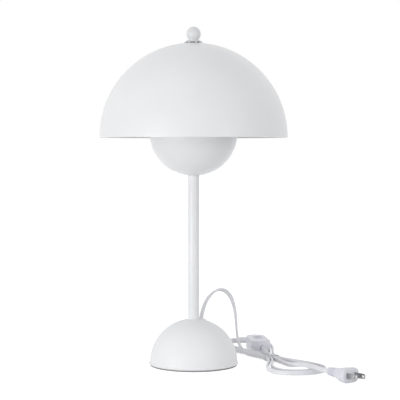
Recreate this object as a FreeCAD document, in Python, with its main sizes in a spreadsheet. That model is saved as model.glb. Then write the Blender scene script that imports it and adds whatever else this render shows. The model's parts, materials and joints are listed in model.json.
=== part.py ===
# White mushroom table lamp: domed base, slim pole, bowl, domed shade on a harp, ball finial,
# and a flat twin cord with an inline rocker switch and a two-blade plug, tied into a hank.
# Millimetres. Origin at the middle of the base's underside, +Z up, +X to the right, +Y to the back.
import FreeCAD, Part
import math
import os
import re
import Sketcher

Vector = FreeCAD.Vector
Rotation = FreeCAD.Rotation

doc = FreeCAD.newDocument("mushroom_lamp")

# Driving dimensions: name, value, what it measures
SIZES = [
    ("pad_inset", 0.5, "edge of the soft pad, inside the base dome's"),
    ("pad_height", 1.8, "thickness of the pad"),
    ("dome_radius", 54, "outside of the base dome"),
    ("dome_wall", 1.2, "sheet of the base dome"),
    ("lip_bead", 1.2, "radius of the rolled lip at the dome's foot"),
    ("plate_thickness", 1.5, "steel plate that closes the base"),
    ("sheet_gap", 0.3, "gap from the dome to the plate and the weight"),
    ("weight_height", 24.7, "thickness of the iron weight"),
    ("recess_radius", 15, "recess for the nut under the weight"),
    ("recess_depth", 12, "depth of that recess"),
    ("plate_screw_circle", 34, "distance of the plate's screws from the axis"),
    ("plate_screw_radius", 2, "shank of a plate screw"),
    ("plate_screw_length", 12, "length of a plate screw"),
    ("plate_screw_head", 3.2, "head radius of a plate screw"),
    ("thread_gap", 0.05, "running gap of threads and pins"),
    ("hole_gap", 0.15, "gap of plain clearance holes"),
    ("washer_radius", 11.5, "washers on the threaded tubes"),
    ("washer_thickness", 1.3, "thickness of those washers"),
    ("nut_flats", 15, "width of the nuts across their flats"),
    ("nut_height", 4.5, "height of the nuts"),
    ("nipple_radius", 5, "outside of the threaded tubes"),
    ("nipple_bore", 3.5, "bore of the threaded tubes"),
    ("nipple_grip", 15, "length of thread inside the pole"),
    ("nipple_end", 1.5, "thread that stands past the lower nut"),
    ("spacer_radius", 7, "tube that holds the weight down from the crown"),
    ("pole_radius", 7, "outside of the pole"),
    ("pole_length", 177, "length of the pole"),
    ("seat_margin", 0.3, "flat left around the pole's ends"),
    ("cord_width", 5.6, "width of the flat twin cord"),
    ("cord_thickness", 2.8, "thickness of the flat twin cord"),
    ("cord_gap", 0.3, "gap around the cord in its holes"),
    ("exit_radius", 16, "distance of the cord's outlet from the axis"),
    ("exit_azimuth", 55, "direction of the outlet, in degrees from +X towards +Y"),
    ("bushing_flange", 6.2, "flange radius of the cord bushing"),
    ("bushing_lip", 1.2, "height of that flange"),
    ("bushing_radius", 4.9, "bushing where it passes the dome"),
    ("bushing_tip", 4.2, "bushing at its inner end"),
    ("bushing_depth", 11, "bushing below the dome's outside"),
    ("bowl_radius", 54, "outside of the bowl under the shade"),
    ("bowl_wall", 1, "sheet of the bowl"),
    ("saddle_thickness", 1.5, "strip of the harp's saddle"),
    ("saddle_width", 14, "width of the saddle strip"),
    ("saddle_flat", 10, "half length of the saddle's flat middle"),
    ("harp_half_span", 34, "distance of the harp's legs from the axis"),
    ("saddle_rise", 19.8, "height of the saddle's arms"),
    ("ear_height", 15, "upright ears at the ends of the saddle"),
    ("ear_width", 4, "width of the ears"),
    ("harp_wire_radius", 1.8, "wire of the harp"),
    ("ferrule_radius", 3.4, "sleeves that lock the harp's legs"),
    ("ferrule_length", 18, "length of those sleeves"),
    ("stud_radius", 3.2, "threaded stud that carries the shade"),
    ("stud_block_radius", 5, "block on top of the harp"),
    ("stud_block_height", 9, "height of that block"),
    ("shade_seat_radius", 6.5, "collar that the shade sits on"),
    ("shade_seat_height", 4, "height of the collar"),
    ("socket_foot_radius", 11, "lampholder at its foot"),
    ("socket_radius", 17, "outside of the lampholder"),
    ("socket_foot_height", 7, "height of the lampholder's tapered foot"),
    ("socket_height", 46, "height of the lampholder"),
    ("socket_floor", 9, "thickness of the lampholder's floor"),
    ("socket_wall", 2.4, "wall of the lampholder"),
    ("screw_shell_wall", 0.5, "sheet of the lampholder's screw shell"),
    ("insulator_height", 2.5, "disc under the lampholder's contact"),
    ("socket_screw_radius", 1.4, "screws through the lampholder's disc"),
    ("socket_screw_length", 5, "those screws below the disc"),
    ("socket_screw_circle", 9, "distance of those screws from the axis"),
    ("contact_height", 3, "height of the lampholder's contact"),
    ("contact_radius", 5, "radius of the lampholder's contact"),
    ("cap_radius", 13, "thread crest of the bulb's cap"),
    ("cap_groove", 0.7, "depth of the cap's thread"),
    ("cap_pitch", 3.63, "pitch of the cap's thread"),
    ("cap_length", 24, "length of the bulb's cap"),
    ("cap_gap", 0.1, "running gap of the bulb's cap in the screw shell"),
    ("tip_radius", 4.5, "contact tip of the bulb"),
    ("tip_height", 1, "height of the contact tip"),
    ("bulb_cone_height", 4, "insulating cone of the bulb"),
    ("globe_radius", 22.5, "glass globe of the bulb"),
    ("globe_wall", 0.8, "glass of the globe"),
    ("globe_neck", 11.6, "neck of the globe in its cap"),
    ("shade_radius", 115, "outside of the shade"),
    ("shade_wall", 1, "sheet of the shade"),
    ("shade_skirt", 0.8, "straight skirt under the shade's widest line"),
    ("shade_rim_height", 279.8, "height of the shade's rim over the table"),
    ("shade_crown_radius", 13.6, "flat on top of the shade"),
    ("vent_hole_radius", 1.9, "vent holes in the shade's flat"),
    ("vent_hole_circle", 9.6, "distance of the vent holes from the axis"),
    ("vent_cap_radius", 13.3, "foot of the vent cap"),
    ("vent_cap_top_radius", 6.8, "top of the vent cap"),
    ("vent_cap_height", 4.7, "height of the vent cap"),
    ("vent_cap_wall", 0.9, "sheet of the vent cap"),
    ("vent_slot_height", 1.7, "vent slots at the cap's foot"),
    ("vent_post_width", 1.6, "posts between the vent slots"),
    ("finial_washer_height", 0.5, "washer under the ball"),
    ("finial_radius", 8.8, "ball finial"),
    ("finial_neck_radius", 6.3, "neck under the ball"),
    ("finial_collar", 0.2, "straight collar under the ball"),
    ("finial_bore_depth", 7.4, "threaded bore of the ball"),
    ("stud_reach", 6.2, "stud inside the ball"),
    ("switch_length", 60, "inline switch along the cord"),
    ("switch_width", 25, "inline switch across the cord"),
    ("switch_height", 17, "inline switch from the table to its top"),
    ("switch_corner", 7, "chamfered corners of the switch"),
    ("switch_wall", 2, "wall of the switch's shells"),
    ("switch_round", 1.6, "rounded edges of the switch"),
    ("rocker_length", 15, "rocker along the switch"),
    ("rocker_width", 10, "rocker across the switch"),
    ("rocker_stand", 1.8, "rocker above the switch's top"),
    ("rocker_depth", 6.6, "rocker below the switch's top"),
    ("rocker_room", 1.4, "room around the rocker for its tilt"),
    ("rocker_tilt", 8, "tilt of the rocker at rest, in degrees"),
    ("ring_wall", 1.7, "oval ring around the rocker"),
    ("ring_stand", 1.2, "height of that ring"),
    ("rocker_pin_radius", 1, "hinge pin of the rocker"),
    ("rocker_pin_drop", 4.2, "hinge pin below the switch's top"),
    ("rocker_side_gap", 0.5, "gap beside the rocker"),
    ("rocker_dish", 0.8, "hollow of the rocker's top"),
    ("rocker_dish_radius", 45, "curve of that hollow"),
    ("lug_width", 2.4, "lugs that hold the pin"),
    ("post_radius", 3, "screw posts in the switch"),
    ("switch_screw_radius", 1.2, "screws that close the switch"),
    ("switch_screw_sink", 0.4, "screw heads below the switch's underside"),
    ("switch_screw_reach", 5, "screws inside the upper shell"),
    ("post_along", 20, "screw posts from the switch's middle, along it"),
    ("post_across", 6, "screw posts from the switch's middle, across it"),
    ("terminal_along", 14, "terminals from the switch's middle"),
    ("terminal_length", 6, "terminal block"),
    ("terminal_width", 5, "terminal block"),
    ("terminal_height", 3.6, "terminal block"),
    ("spring_thickness", 0.4, "contact spring"),
    ("spring_rise", 2, "bow of the contact spring"),
    ("plug_length", 36, "plug body"),
    ("plug_width", 25, "plug at its face"),
    ("plug_height", 17, "plug at its face, across the blades"),
    ("plug_tail_width", 8, "plug where the cord enters"),
    ("plug_tail_height", 9, "plug where the cord enters"),
    ("plug_corner", 0.55, "corners of the plug's section, as a share of its half height"),
    ("blade_spacing", 12.7, "distance between the blades"),
    ("blade_width", 6.35, "width of a blade"),
    ("blade_thickness", 1.5, "thickness of a blade"),
    ("blade_length", 16, "blade outside the plug"),
    ("blade_root", 7, "blade inside the plug"),
    ("blade_hole_radius", 1.6, "hole near a blade's tip"),
    ("floor_gap", 0.2, "switch, plug and tie over the table"),
    ("tie_thickness", 0.5, "band of the tie"),
    ("tie_length", 6, "width of the band along the cords"),
    ("strand_pitch", 3.9, "distance of the strands inside the tie"),
    ("waist_run", 14, "straight run of the strands through the tie"),
    ("upper_loop_length", 136, "outer upper loop of the hank"),
    ("upper_loop_bulge", 49, "swell of the outer upper loop"),
    ("inner_loop_length", 126, "inner upper loop of the hank"),
    ("inner_loop_bulge", 37, "swell of the inner upper loop"),
    ("lower_loop_length", 106, "outer lower loop of the hank"),
    ("lower_loop_bulge", 48, "swell of the outer lower loop"),
    ("lower_inner_length", 97, "inner lower loop of the hank"),
    ("lower_inner_bulge", 37, "swell of the inner lower loop"),
    ("switch_along", 78, "middle of the switch from the waist, along the hank"),
    ("switch_across", 11.2, "middle of the switch, across the hank"),
    ("switch_lean", 11.2, "lean of the switch to the right of the hank, in degrees"),
    ("switch_grip", 5, "cord inside the switch's end walls"),
    ("cord_straight", 4, "straight cord outside the switch and the plug"),
    ("plug_along", -136, "tail of the plug from the waist, along the hank"),
    ("plug_across", 18.5, "tail of the plug, across the hank"),
    ("plug_lean", 20, "lean of the plug to the right of the hank, in degrees"),
    ("entry_along", 31, "start of the hank from the waist, along the hank"),
    ("entry_across", -16, "start of the hank, across it"),
    ("hank_x", 98, "middle of the hank's waist"),
    ("hank_y", 30, "middle of the hank's waist"),
    ("hank_turn", 18, "lean of the hank to the left of +Y, in degrees"),
]

# Sizes that follow from the driving ones
DERIVED = [
    ("pad_radius", "dome_radius - pad_inset"),
    ("dome_centre", "pad_height + lip_bead"),
    ("lip_circle", "sqrt(dome_radius ^ 2 - lip_bead ^ 2)"),
    ("plate_top", "pad_height + plate_thickness"),
    ("weight_top", "plate_top + weight_height"),
    ("weight_edge", "dome_radius - dome_wall - sheet_gap"),
    ("recess_top", "plate_top + recess_depth"),
    ("base_nut_top", "recess_top - washer_thickness"),
    ("base_nut_foot", "base_nut_top - nut_height"),
    ("nipple_foot", "base_nut_foot - nipple_end"),
    ("seat_radius", "pole_radius + seat_margin"),
    ("nipple_hole", "nipple_radius + hole_gap"),
    ("crown_height", "dome_centre + sqrt(dome_radius ^ 2 - seat_radius ^ 2)"),
    ("crown_under", "crown_height - dome_wall"),
    ("pole_top", "crown_height + pole_length"),
    ("exit_lean", "exit_radius / dome_radius"),
    ("exit_rise", "sqrt(1 - exit_lean ^ 2)"),
    ("turn_radius", "(dome_radius - bushing_depth) * exit_lean / (1 + exit_rise)"),
    ("turn_height", "dome_centre + (dome_radius - bushing_depth) * exit_rise + exit_lean * turn_radius"),
    ("window_foot", "turn_height - turn_radius - cord_thickness / 2 - 2 * cord_gap"),
    ("window_width", "cord_width + 2 * cord_gap"),
    ("bowl_centre", "pole_top + sqrt(bowl_radius ^ 2 - seat_radius ^ 2)"),
    ("bowl_floor", "pole_top + bowl_wall"),
    ("saddle_foot", "bowl_floor + washer_thickness"),
    ("saddle_top", "saddle_foot + saddle_thickness"),
    ("socket_foot", "saddle_top + nut_height"),
    ("socket_floor_top", "socket_foot + socket_floor"),
    ("contact_foot", "socket_floor_top + insulator_height"),
    ("bulb_foot", "contact_foot + contact_height"),
    ("cap_foot", "bulb_foot + tip_height + bulb_cone_height"),
    ("cap_top", "cap_foot + cap_length"),
    ("globe_foot", "cap_top + bulb_cone_height / 2"),
    ("globe_centre", "globe_foot + sqrt(globe_radius ^ 2 - globe_neck ^ 2)"),
    ("socket_top", "socket_foot + socket_height"),
    ("screw_shell_radius", "cap_radius + cap_gap + screw_shell_wall"),
    ("socket_bore", "socket_radius - socket_wall"),
    ("shade_centre", "shade_rim_height + shade_skirt"),
    ("shade_top", "shade_centre + sqrt(shade_radius ^ 2 - shade_crown_radius ^ 2)"),
    ("shade_under", "shade_top - shade_wall"),
    ("stud_hole", "stud_radius + thread_gap"),
    ("vent_cap_top", "shade_top + vent_cap_height"),
    ("finial_foot", "vent_cap_top + finial_washer_height"),
    ("finial_neck", "sqrt(finial_radius ^ 2 - finial_neck_radius ^ 2)"),
    ("finial_centre", "finial_foot + finial_collar + finial_neck"),
    ("seat_foot", "shade_under - shade_seat_height"),
    ("block_foot", "seat_foot - stud_block_height"),
    ("harp_top", "seat_foot - stud_block_height / 2"),
    ("ear_foot", "saddle_foot + saddle_rise"),
    ("ear_top", "ear_foot + ear_height"),
    ("switch_middle", "floor_gap + switch_height / 2"),
    ("opening_length", "rocker_length + 2 * rocker_room"),
    ("opening_width", "rocker_width + 2 * rocker_side_gap"),
    ("lug_across", "opening_width / 2 + lug_width / 2"),
    ("pin_height", "switch_height - rocker_pin_drop"),
    ("plug_middle", "floor_gap + plug_height / 2"),
    ("strand_height", "floor_gap + tie_thickness + hole_gap + cord_width / 2"),
    ("crossing_height", "strand_height + cord_width + 2 * cord_gap"),
]

sheet = doc.addObject("Spreadsheet::Sheet", "sizes")
for row, (alias, size, note) in enumerate(SIZES, start=1):
    sheet.set(f"A{row}", note)
    sheet.set(f"B{row}", str(size))
    sheet.setAlias(f"B{row}", alias)
for row, (alias, formula) in enumerate(DERIVED, start=1):
    sheet.set(f"D{row}", "=" + formula)
    sheet.setAlias(f"D{row}", alias)
doc.recompute()
ALIASES = {entry[0] for entry in SIZES + DERIVED}


def linked(formula):
    """The formula with each size's name pointing at its cell."""
    def point_at_cell(found):
        word = found.group(0)
        return "sizes." + word if word in ALIASES else word
    return re.sub(r"[a-z][a-z_]*", point_at_cell, formula)


def size(formula):
    """The number that a formula of the sheet's names gives."""
    return float(sheet.evalExpression(linked(formula)))


def bind(piece, **formulas):
    """Tie properties of a piece to formulas of the sheet's names."""
    for name, formula in formulas.items():
        piece.setExpression(name, linked(formula))
    return piece


def place(piece, x="0", y="0", z="0", rotation=None):
    """Set a piece down at a place that follows the sheet."""
    piece.Placement = FreeCAD.Placement(Vector(size(x), size(y), size(z)), rotation or Rotation())
    for axis, formula in (("x", x), ("y", y), ("z", z)):
        piece.setExpression("Placement.Base." + axis, linked(formula))
    return piece


def outline(body, name, plane_role, corners, offset=None):
    """A closed sketch. A corner is (x, y), or (x, y, (centre x, centre y, turn)) where an arc leaves it."""
    sketch = body.newObject("Sketcher::SketchObject", name)
    plane = next(item for item in body.Origin.OriginFeatures if item.Role == plane_role)
    sketch.AttachmentSupport = [(plane, "")]
    sketch.MapMode = "FlatFace"
    if offset:
        sketch.AttachmentOffset = FreeCAD.Placement(Vector(0, 0, size(offset)), Rotation())
        sketch.setExpression("AttachmentOffset.Base.z", linked(offset))
    count = len(corners)
    places = [Vector(size(corner[0]), size(corner[1]), 0) for corner in corners]
    ends = []
    for index, corner in enumerate(corners):
        start = places[index]
        stop = places[(index + 1) % count]
        if len(corner) == 2:
            sketch.addGeometry(Part.LineSegment(start, stop), False)
            ends.append((1, 2))
            continue
        centre_x, centre_y, turn = corner[2]
        centre = Vector(size(centre_x), size(centre_y), 0)
        circle = Part.Circle(centre, Vector(0, 0, 1), (start - centre).Length)
        angles = [math.atan2(spot.y - centre.y, spot.x - centre.x) for spot in (start, stop)]
        if turn == "left":
            sketch.addGeometry(Part.ArcOfCircle(circle, angles[0], angles[1]), False)
            ends.append((1, 2))
        else:
            sketch.addGeometry(Part.ArcOfCircle(circle, angles[1], angles[0]), False)
            ends.append((2, 1))
    for index, corner in enumerate(corners):
        following = (index + 1) % count
        sketch.addConstraint(Sketcher.Constraint(
            "Coincident", index, ends[index][1], following, ends[following][0]))
        for kind, formula in (("DistanceX", corner[0]), ("DistanceY", corner[1])):
            mark = sketch.addConstraint(Sketcher.Constraint(
                kind, -1, 1, index, ends[index][0], size(formula)))
            sketch.setExpression(f"Constraints[{mark}]", linked(formula))
        if len(corner) == 3:
            chord = places[following] - places[index]
            steep = abs(chord.y) > abs(chord.x)
            kind, formula = ("DistanceX", corner[2][0]) if steep else ("DistanceY", corner[2][1])
            mark = sketch.addConstraint(Sketcher.Constraint(kind, -1, 1, index, 3, size(formula)))
            sketch.setExpression(f"Constraints[{mark}]", linked(formula))
    return sketch


def revolved(label, corners):
    """A piece turned about the lamp's axis from its half section in the XZ plane."""
    body = doc.addObject("PartDesign::Body", label)
    sketch = outline(body, label + "_outline", "XZ_Plane", corners)
    turn = body.newObject("PartDesign::Revolution", label + "_turn")
    turn.Profile = sketch
    turn.ReferenceAxis = (sketch, ["V_Axis"])
    turn.Angle = 360
    return body


def ring(label, inner, outer, foot, top):
    """A plain tube, disc or washer about the axis."""
    return revolved(label, [(inner, foot), (outer, foot), (outer, top), (inner, top)])


def extruded(label, corners, foot, depth, plane_role="XY_Plane"):
    """A piece padded from an outline in a plane: up from XY, or towards the front from XZ."""
    body = doc.addObject("PartDesign::Body", label)
    sketch = outline(body, label + "_outline", plane_role, corners, foot)
    pad = body.newObject("PartDesign::Pad", label + "_pad")
    pad.Profile = sketch
    bind(pad, Length=depth)
    return body


def cylinder(name, radius, height, x="0", y="0", z="0", rotation=None):
    piece = doc.addObject("Part::Cylinder", name)
    bind(piece, Radius=radius, Height=height)
    return place(piece, x, y, z, rotation)


def block(name, length, width, height, x="0", y="0", z="0"):
    """A box about its own middle in X and Y, standing on z."""
    piece = doc.addObject("Part::Box", name)
    bind(piece, Length=length, Width=width, Height=height)
    return place(piece, f"({x}) - ({length}) / 2", f"({y}) - ({width}) / 2", z)


def joined(label, *pieces):
    piece = doc.addObject("Part::MultiFuse", label)
    piece.Shapes = list(pieces)
    return piece


def cut(label, base, *tools):
    """The base with each tool taken away from it."""
    piece = doc.addObject("Part::Cut", label)
    piece.Base = base
    piece.Tool = tools[0] if len(tools) == 1 else joined(label + "_tools", *tools)
    return piece


def grouped(label, *pieces):
    piece = doc.addObject("Part::Compound", label)
    piece.Links = list(pieces)
    return piece


def hex_nut(label, foot):
    prism = doc.addObject("Part::Prism", label + "_hexagon")
    prism.Polygon = 6
    bind(prism, Circumradius="nut_flats / sqrt(3)", Height="nut_height")
    place(prism, z=foot)
    return cut(label, prism, cylinder(label + "_bore", "nipple_radius + thread_gap", "nut_height", z=foot))


NODES = []


def keep(piece):
    NODES.append(piece)
    return piece


# The base: pad, plate with its screws, iron weight, and the threaded tube that clamps it all
def plate_screw(name, gap, angle):
    """A countersunk screw, or with a gap the hole that it needs, at an angle round the plate."""
    screw = revolved(name, [
        ("0", "0"),
        (f"plate_screw_head + {gap}", "0"),
        (f"plate_screw_radius + {gap}", "plate_thickness"),
        (f"plate_screw_radius + {gap}", f"plate_screw_length + {gap}"),
        ("0", f"plate_screw_length + {gap}")])
    return place(screw, f"plate_screw_circle * cos({angle})", f"plate_screw_circle * sin({angle})",
                 "pad_height")


PLATE_SCREW_ANGLES = (90, 210, 330)
screw_holes = [plate_screw(f"plate_screw_hole_{angle}", "thread_gap", angle)
               for angle in PLATE_SCREW_ANGLES]
keep(ring("base_pad", "0", "pad_radius", "0", "pad_height"))
plate_blank = ring("base_plate_blank", "0", "weight_edge", "pad_height", "plate_top")
keep(cut("base_plate", plate_blank, *screw_holes))
keep(grouped("plate_screws", *[plate_screw(f"plate_screw_{angle}", "0", angle)
                               for angle in PLATE_SCREW_ANGLES]))
weight_blank = revolved("base_weight_blank", [
    ("nipple_hole", "weight_top"),
    ("nipple_hole", "recess_top"),
    ("recess_radius", "recess_top"),
    ("recess_radius", "plate_top"),
    ("sqrt(weight_edge ^ 2 - (plate_top - dome_centre) ^ 2)", "plate_top", ("0", "dome_centre", "left")),
    ("sqrt(weight_edge ^ 2 - (weight_top - dome_centre) ^ 2)", "weight_top")])
keep(cut("base_weight", weight_blank, *screw_holes))
keep(ring("base_washer", "nipple_hole", "washer_radius", "base_nut_top", "recess_top"))
keep(hex_nut("base_nut", "base_nut_foot"))

cord_window = doc.addObject("Part::Box", "cord_window")
bind(cord_window, Length="2 * spacer_radius", Width="window_width", Height="turn_height - window_foot")
place(cord_window, "window_width / 2 * sin(exit_azimuth)", "-window_width / 2 * cos(exit_azimuth)",
      "window_foot", Rotation(Vector(0, 0, 1), size("exit_azimuth")))
nipple_blank = ring("lower_nipple_blank", "nipple_bore", "nipple_radius", "nipple_foot",
                    "crown_height + nipple_grip")
keep(cut("lower_nipple", nipple_blank, cord_window))
spacer_blank = ring("spacer_blank", "nipple_hole", "spacer_radius", "weight_top", "crown_under")
keep(cut("spacer_tube", spacer_blank, cord_window))

dome_blank = revolved("base_dome_blank", [
    ("nipple_hole", "crown_under"),
    ("sqrt((dome_radius - dome_wall) ^ 2 - (crown_under - dome_centre) ^ 2)", "crown_under",
     ("0", "dome_centre", "right")),
    ("dome_radius - dome_wall", "dome_centre"),
    ("dome_radius - dome_wall", "pad_height"),
    ("lip_circle", "pad_height", ("lip_circle", "dome_centre", "left")),
    ("lip_circle", "dome_centre + lip_bead", ("0", "dome_centre", "left")),
    ("seat_radius", "crown_height"),
    ("nipple_hole", "crown_height")])

# The outlet leans with the dome's surface, and its bushing seats on that curve
EXIT_TURN = Rotation(size("exit_azimuth"), math.degrees(math.asin(size("exit_lean"))), 0)
OUTLET = ("{0} * exit_lean * cos(exit_azimuth)", "{0} * exit_lean * sin(exit_azimuth)",
          "dome_centre + {0} * exit_rise")


def on_outlet(reach):
    """Formulas for the place on the outlet's axis at a distance from the dome's centre."""
    return [formula.format(f"({reach})") for formula in OUTLET]


outlet_drill = cylinder("outlet_drill", "bushing_radius + hole_gap", "bushing_depth",
                        *on_outlet("dome_radius - bushing_depth / 2"), EXIT_TURN)
keep(cut("base_dome", dome_blank, outlet_drill))
bushing_blank = revolved("cord_bushing_blank", [
    ("0", "-bushing_depth"),
    ("bushing_tip", "-bushing_depth"),
    ("bushing_radius", "-2 * dome_wall"),
    ("bushing_radius", "sqrt(dome_radius ^ 2 - bushing_radius ^ 2) - dome_radius",
     ("0", "-dome_radius", "right")),
    ("bushing_flange", "sqrt(dome_radius ^ 2 - bushing_flange ^ 2) - dome_radius"),
    ("bushing_flange - bushing_lip / 2", "bushing_lip"),
    ("0", "bushing_lip")])
bushing_slot = block("bushing_slot", "cord_thickness + 2 * cord_gap", "window_width",
                     "2 * bushing_depth", z="-1.5 * bushing_depth")
keep(place(cut("cord_bushing", bushing_blank, bushing_slot), *on_outlet("dome_radius"), EXIT_TURN))

# The stem: pole, upper threaded tube, bowl with its washer and nut
keep(ring("pole", "nipple_radius + thread_gap", "pole_radius", "crown_height", "pole_top"))
keep(ring("upper_nipple", "nipple_bore", "nipple_radius", "pole_top - nipple_grip",
          "socket_floor_top - nipple_end"))
keep(revolved("bowl", [
    ("nipple_hole", "pole_top"),
    ("seat_radius", "pole_top", ("0", "bowl_centre", "left")),
    ("bowl_radius", "bowl_centre"),
    ("bowl_radius - bowl_wall", "bowl_centre", ("0", "bowl_centre", "right")),
    ("sqrt((bowl_radius - bowl_wall) ^ 2 - (bowl_centre - bowl_floor) ^ 2)", "bowl_floor"),
    ("nipple_hole", "bowl_floor")]))
keep(ring("bowl_washer", "nipple_hole", "pole_radius", "bowl_floor", "saddle_foot"))
keep(hex_nut("bowl_nut", "saddle_top"))

# The harp: saddle strip under the lampholder, wire bow, locking sleeves, and the shade's stud
saddle_strip = extruded("harp_saddle_strip", [
    ("-harp_half_span - saddle_thickness / 2", "ear_foot"),
    ("-saddle_flat", "saddle_foot"),
    ("saddle_flat", "saddle_foot"),
    ("harp_half_span + saddle_thickness / 2", "ear_foot"),
    ("harp_half_span + saddle_thickness / 2", "ear_foot + saddle_thickness"),
    ("harp_half_span - saddle_thickness / 2", "ear_foot + saddle_thickness"),
    ("saddle_flat - saddle_thickness / 2", "saddle_top"),
    ("-saddle_flat + saddle_thickness / 2", "saddle_top"),
    ("-harp_half_span + saddle_thickness / 2", "ear_foot + saddle_thickness"),
    ("-harp_half_span - saddle_thickness / 2", "ear_foot + saddle_thickness")],
    "-saddle_width / 2", "saddle_width", "XZ_Plane")
SIDES = (("left", "-harp_half_span"), ("right", "harp_half_span"))
ears = [block(f"saddle_ear_{side}", "saddle_thickness", "ear_width", "ear_height", x, z="ear_foot")
        for side, x in SIDES]
saddle_hole = cylinder("saddle_hole", "nipple_hole", "2 * saddle_thickness",
                       z="saddle_foot - saddle_thickness / 2")
keep(cut("harp_saddle", joined("harp_saddle_blank", saddle_strip, *ears), saddle_hole))


def harp_bow(name, radius):
    """The half round of the harp's wire, at a wire radius."""
    bow = doc.addObject("Part::Torus", name)
    bow.Angle3 = 180
    bind(bow, Radius1="harp_half_span", Radius2=radius)
    return place(bow, z="harp_top - harp_half_span", rotation=Rotation(Vector(1, 0, 0), 90))


legs = [cylinder(f"harp_leg_{side}", "harp_wire_radius", "harp_top - harp_half_span - ear_top", x,
                 z="ear_top") for side, x in SIDES]
keep(joined("harp_wire", harp_bow("harp_bow", "harp_wire_radius"), *legs))
sleeves = []
for side, x in SIDES:
    sleeve = cylinder(f"ferrule_blank_{side}", "ferrule_radius", "ferrule_length", x,
                      z="ear_top - ferrule_length / 2")
    leg_hole = cylinder(f"ferrule_bore_{side}", "harp_wire_radius + thread_gap", "ferrule_length", x,
                        z="ear_top")
    ear_slot = block(f"ferrule_slot_{side}", "saddle_thickness + 2 * thread_gap",
                     "ear_width + 2 * thread_gap", "ferrule_length", x, z="ear_top - ferrule_length")
    sleeves.append(cut(f"ferrule_{side}", sleeve, leg_hole, ear_slot))
keep(grouped("harp_ferrules", *sleeves))
stud_foot = "harp_top + harp_wire_radius + saddle_thickness"
stud_drill = cylinder("stud_drill", "stud_hole", "stud_block_height", z=stud_foot)
stud_block_blank = cylinder("stud_block_blank", "stud_block_radius", "stud_block_height", z="block_foot")
keep(cut("stud_block", stud_block_blank, harp_bow("bow_room", "harp_wire_radius + thread_gap"), stud_drill))
keep(ring("shade_stud", "0", "stud_radius", stud_foot, "finial_foot + stud_reach"))
keep(ring("shade_seat", "stud_hole", "shade_seat_radius", "seat_foot", "shade_under"))

# The lampholder: body, insulating disc, screw shell, contact and the two screws that hold them
SOCKET_SCREWS = ("-socket_screw_circle", "socket_screw_circle")


def socket_screw(name, gap, y):
    """A round-headed screw through the insulating disc, or with a gap its hole."""
    screw = revolved(name, [
        ("0", "socket_floor_top - socket_screw_length"),
        (f"socket_screw_radius + {gap}", "socket_floor_top - socket_screw_length"),
        (f"socket_screw_radius + {gap}", "contact_foot"),
        ("2 * socket_screw_radius", "contact_foot"),
        ("2 * socket_screw_radius", "contact_foot + socket_screw_radius"),
        ("0", "contact_foot + socket_screw_radius")])
    return place(screw, y=y)


socket_screw_holes = [socket_screw(f"socket_screw_hole_{index}", "thread_gap", y)
                      for index, y in enumerate(SOCKET_SCREWS)]
socket_blank = revolved("socket_body_blank", [
    ("nipple_radius + thread_gap", "socket_foot"),
    ("socket_foot_radius", "socket_foot"),
    ("socket_radius", "socket_foot + socket_foot_height"),
    ("socket_radius", "socket_top"),
    ("socket_bore", "socket_top"),
    ("socket_bore", "socket_floor_top"),
    ("nipple_radius + thread_gap", "socket_floor_top")])
keep(cut("socket_body", socket_blank, *socket_screw_holes))
disc_blank = ring("socket_insulator_blank", "0", "socket_bore - hole_gap", "socket_floor_top",
                  "contact_foot")
keep(cut("socket_insulator", disc_blank, *socket_screw_holes))
keep(ring("socket_screw_shell", "cap_radius + cap_gap", "screw_shell_radius", "contact_foot",
          "socket_top - socket_wall"))
keep(ring("socket_contact", "0", "contact_radius", "contact_foot", "bulb_foot"))
keep(grouped("socket_screws", *[socket_screw(f"socket_screw_{index}", "0", y)
                                for index, y in enumerate(SOCKET_SCREWS)]))

# The bulb: contact tip, insulating cone, threaded cap and round glass
cap_root = "cap_radius - cap_groove"
# One thread of the cap: how far it stands out at each share of the pitch
CAP_THREAD = (("cap_radius", 0.3), ("cap_radius", 0.5), (cap_root, 0.8), (cap_root, 1))
keep(ring("bulb_contact", "0", "tip_radius", "bulb_foot", "bulb_foot + tip_height"))
keep(revolved("bulb_insulator", [
    ("0", "bulb_foot + tip_height"),
    ("tip_radius + tip_height", "bulb_foot + tip_height"),
    (cap_root, "cap_foot"),
    ("0", "cap_foot")]))
cap_outline = [("globe_neck + thread_gap", "cap_foot"), (cap_root, "cap_foot")]
for turn in range(int(size("cap_length / cap_pitch"))):
    for reach, share in CAP_THREAD:
        cap_outline.append((reach, f"cap_foot + cap_pitch * {turn + share}"))
cap_outline.append((cap_root, "cap_top"))
cap_outline.append(("globe_neck + thread_gap", "cap_top"))
keep(revolved("bulb_cap", cap_outline))
keep(revolved("bulb_globe", [
    ("globe_neck - globe_wall", "cap_foot"),
    ("globe_neck", "cap_foot"),
    ("globe_neck", "globe_foot", ("0", "globe_centre", "left")),
    ("0", "globe_centre + globe_radius"),
    ("0", "globe_centre + globe_radius - globe_wall", ("0", "globe_centre", "right")),
    ("globe_neck - globe_wall",
     "globe_centre - sqrt((globe_radius - globe_wall) ^ 2 - (globe_neck - globe_wall) ^ 2)")]))

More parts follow.
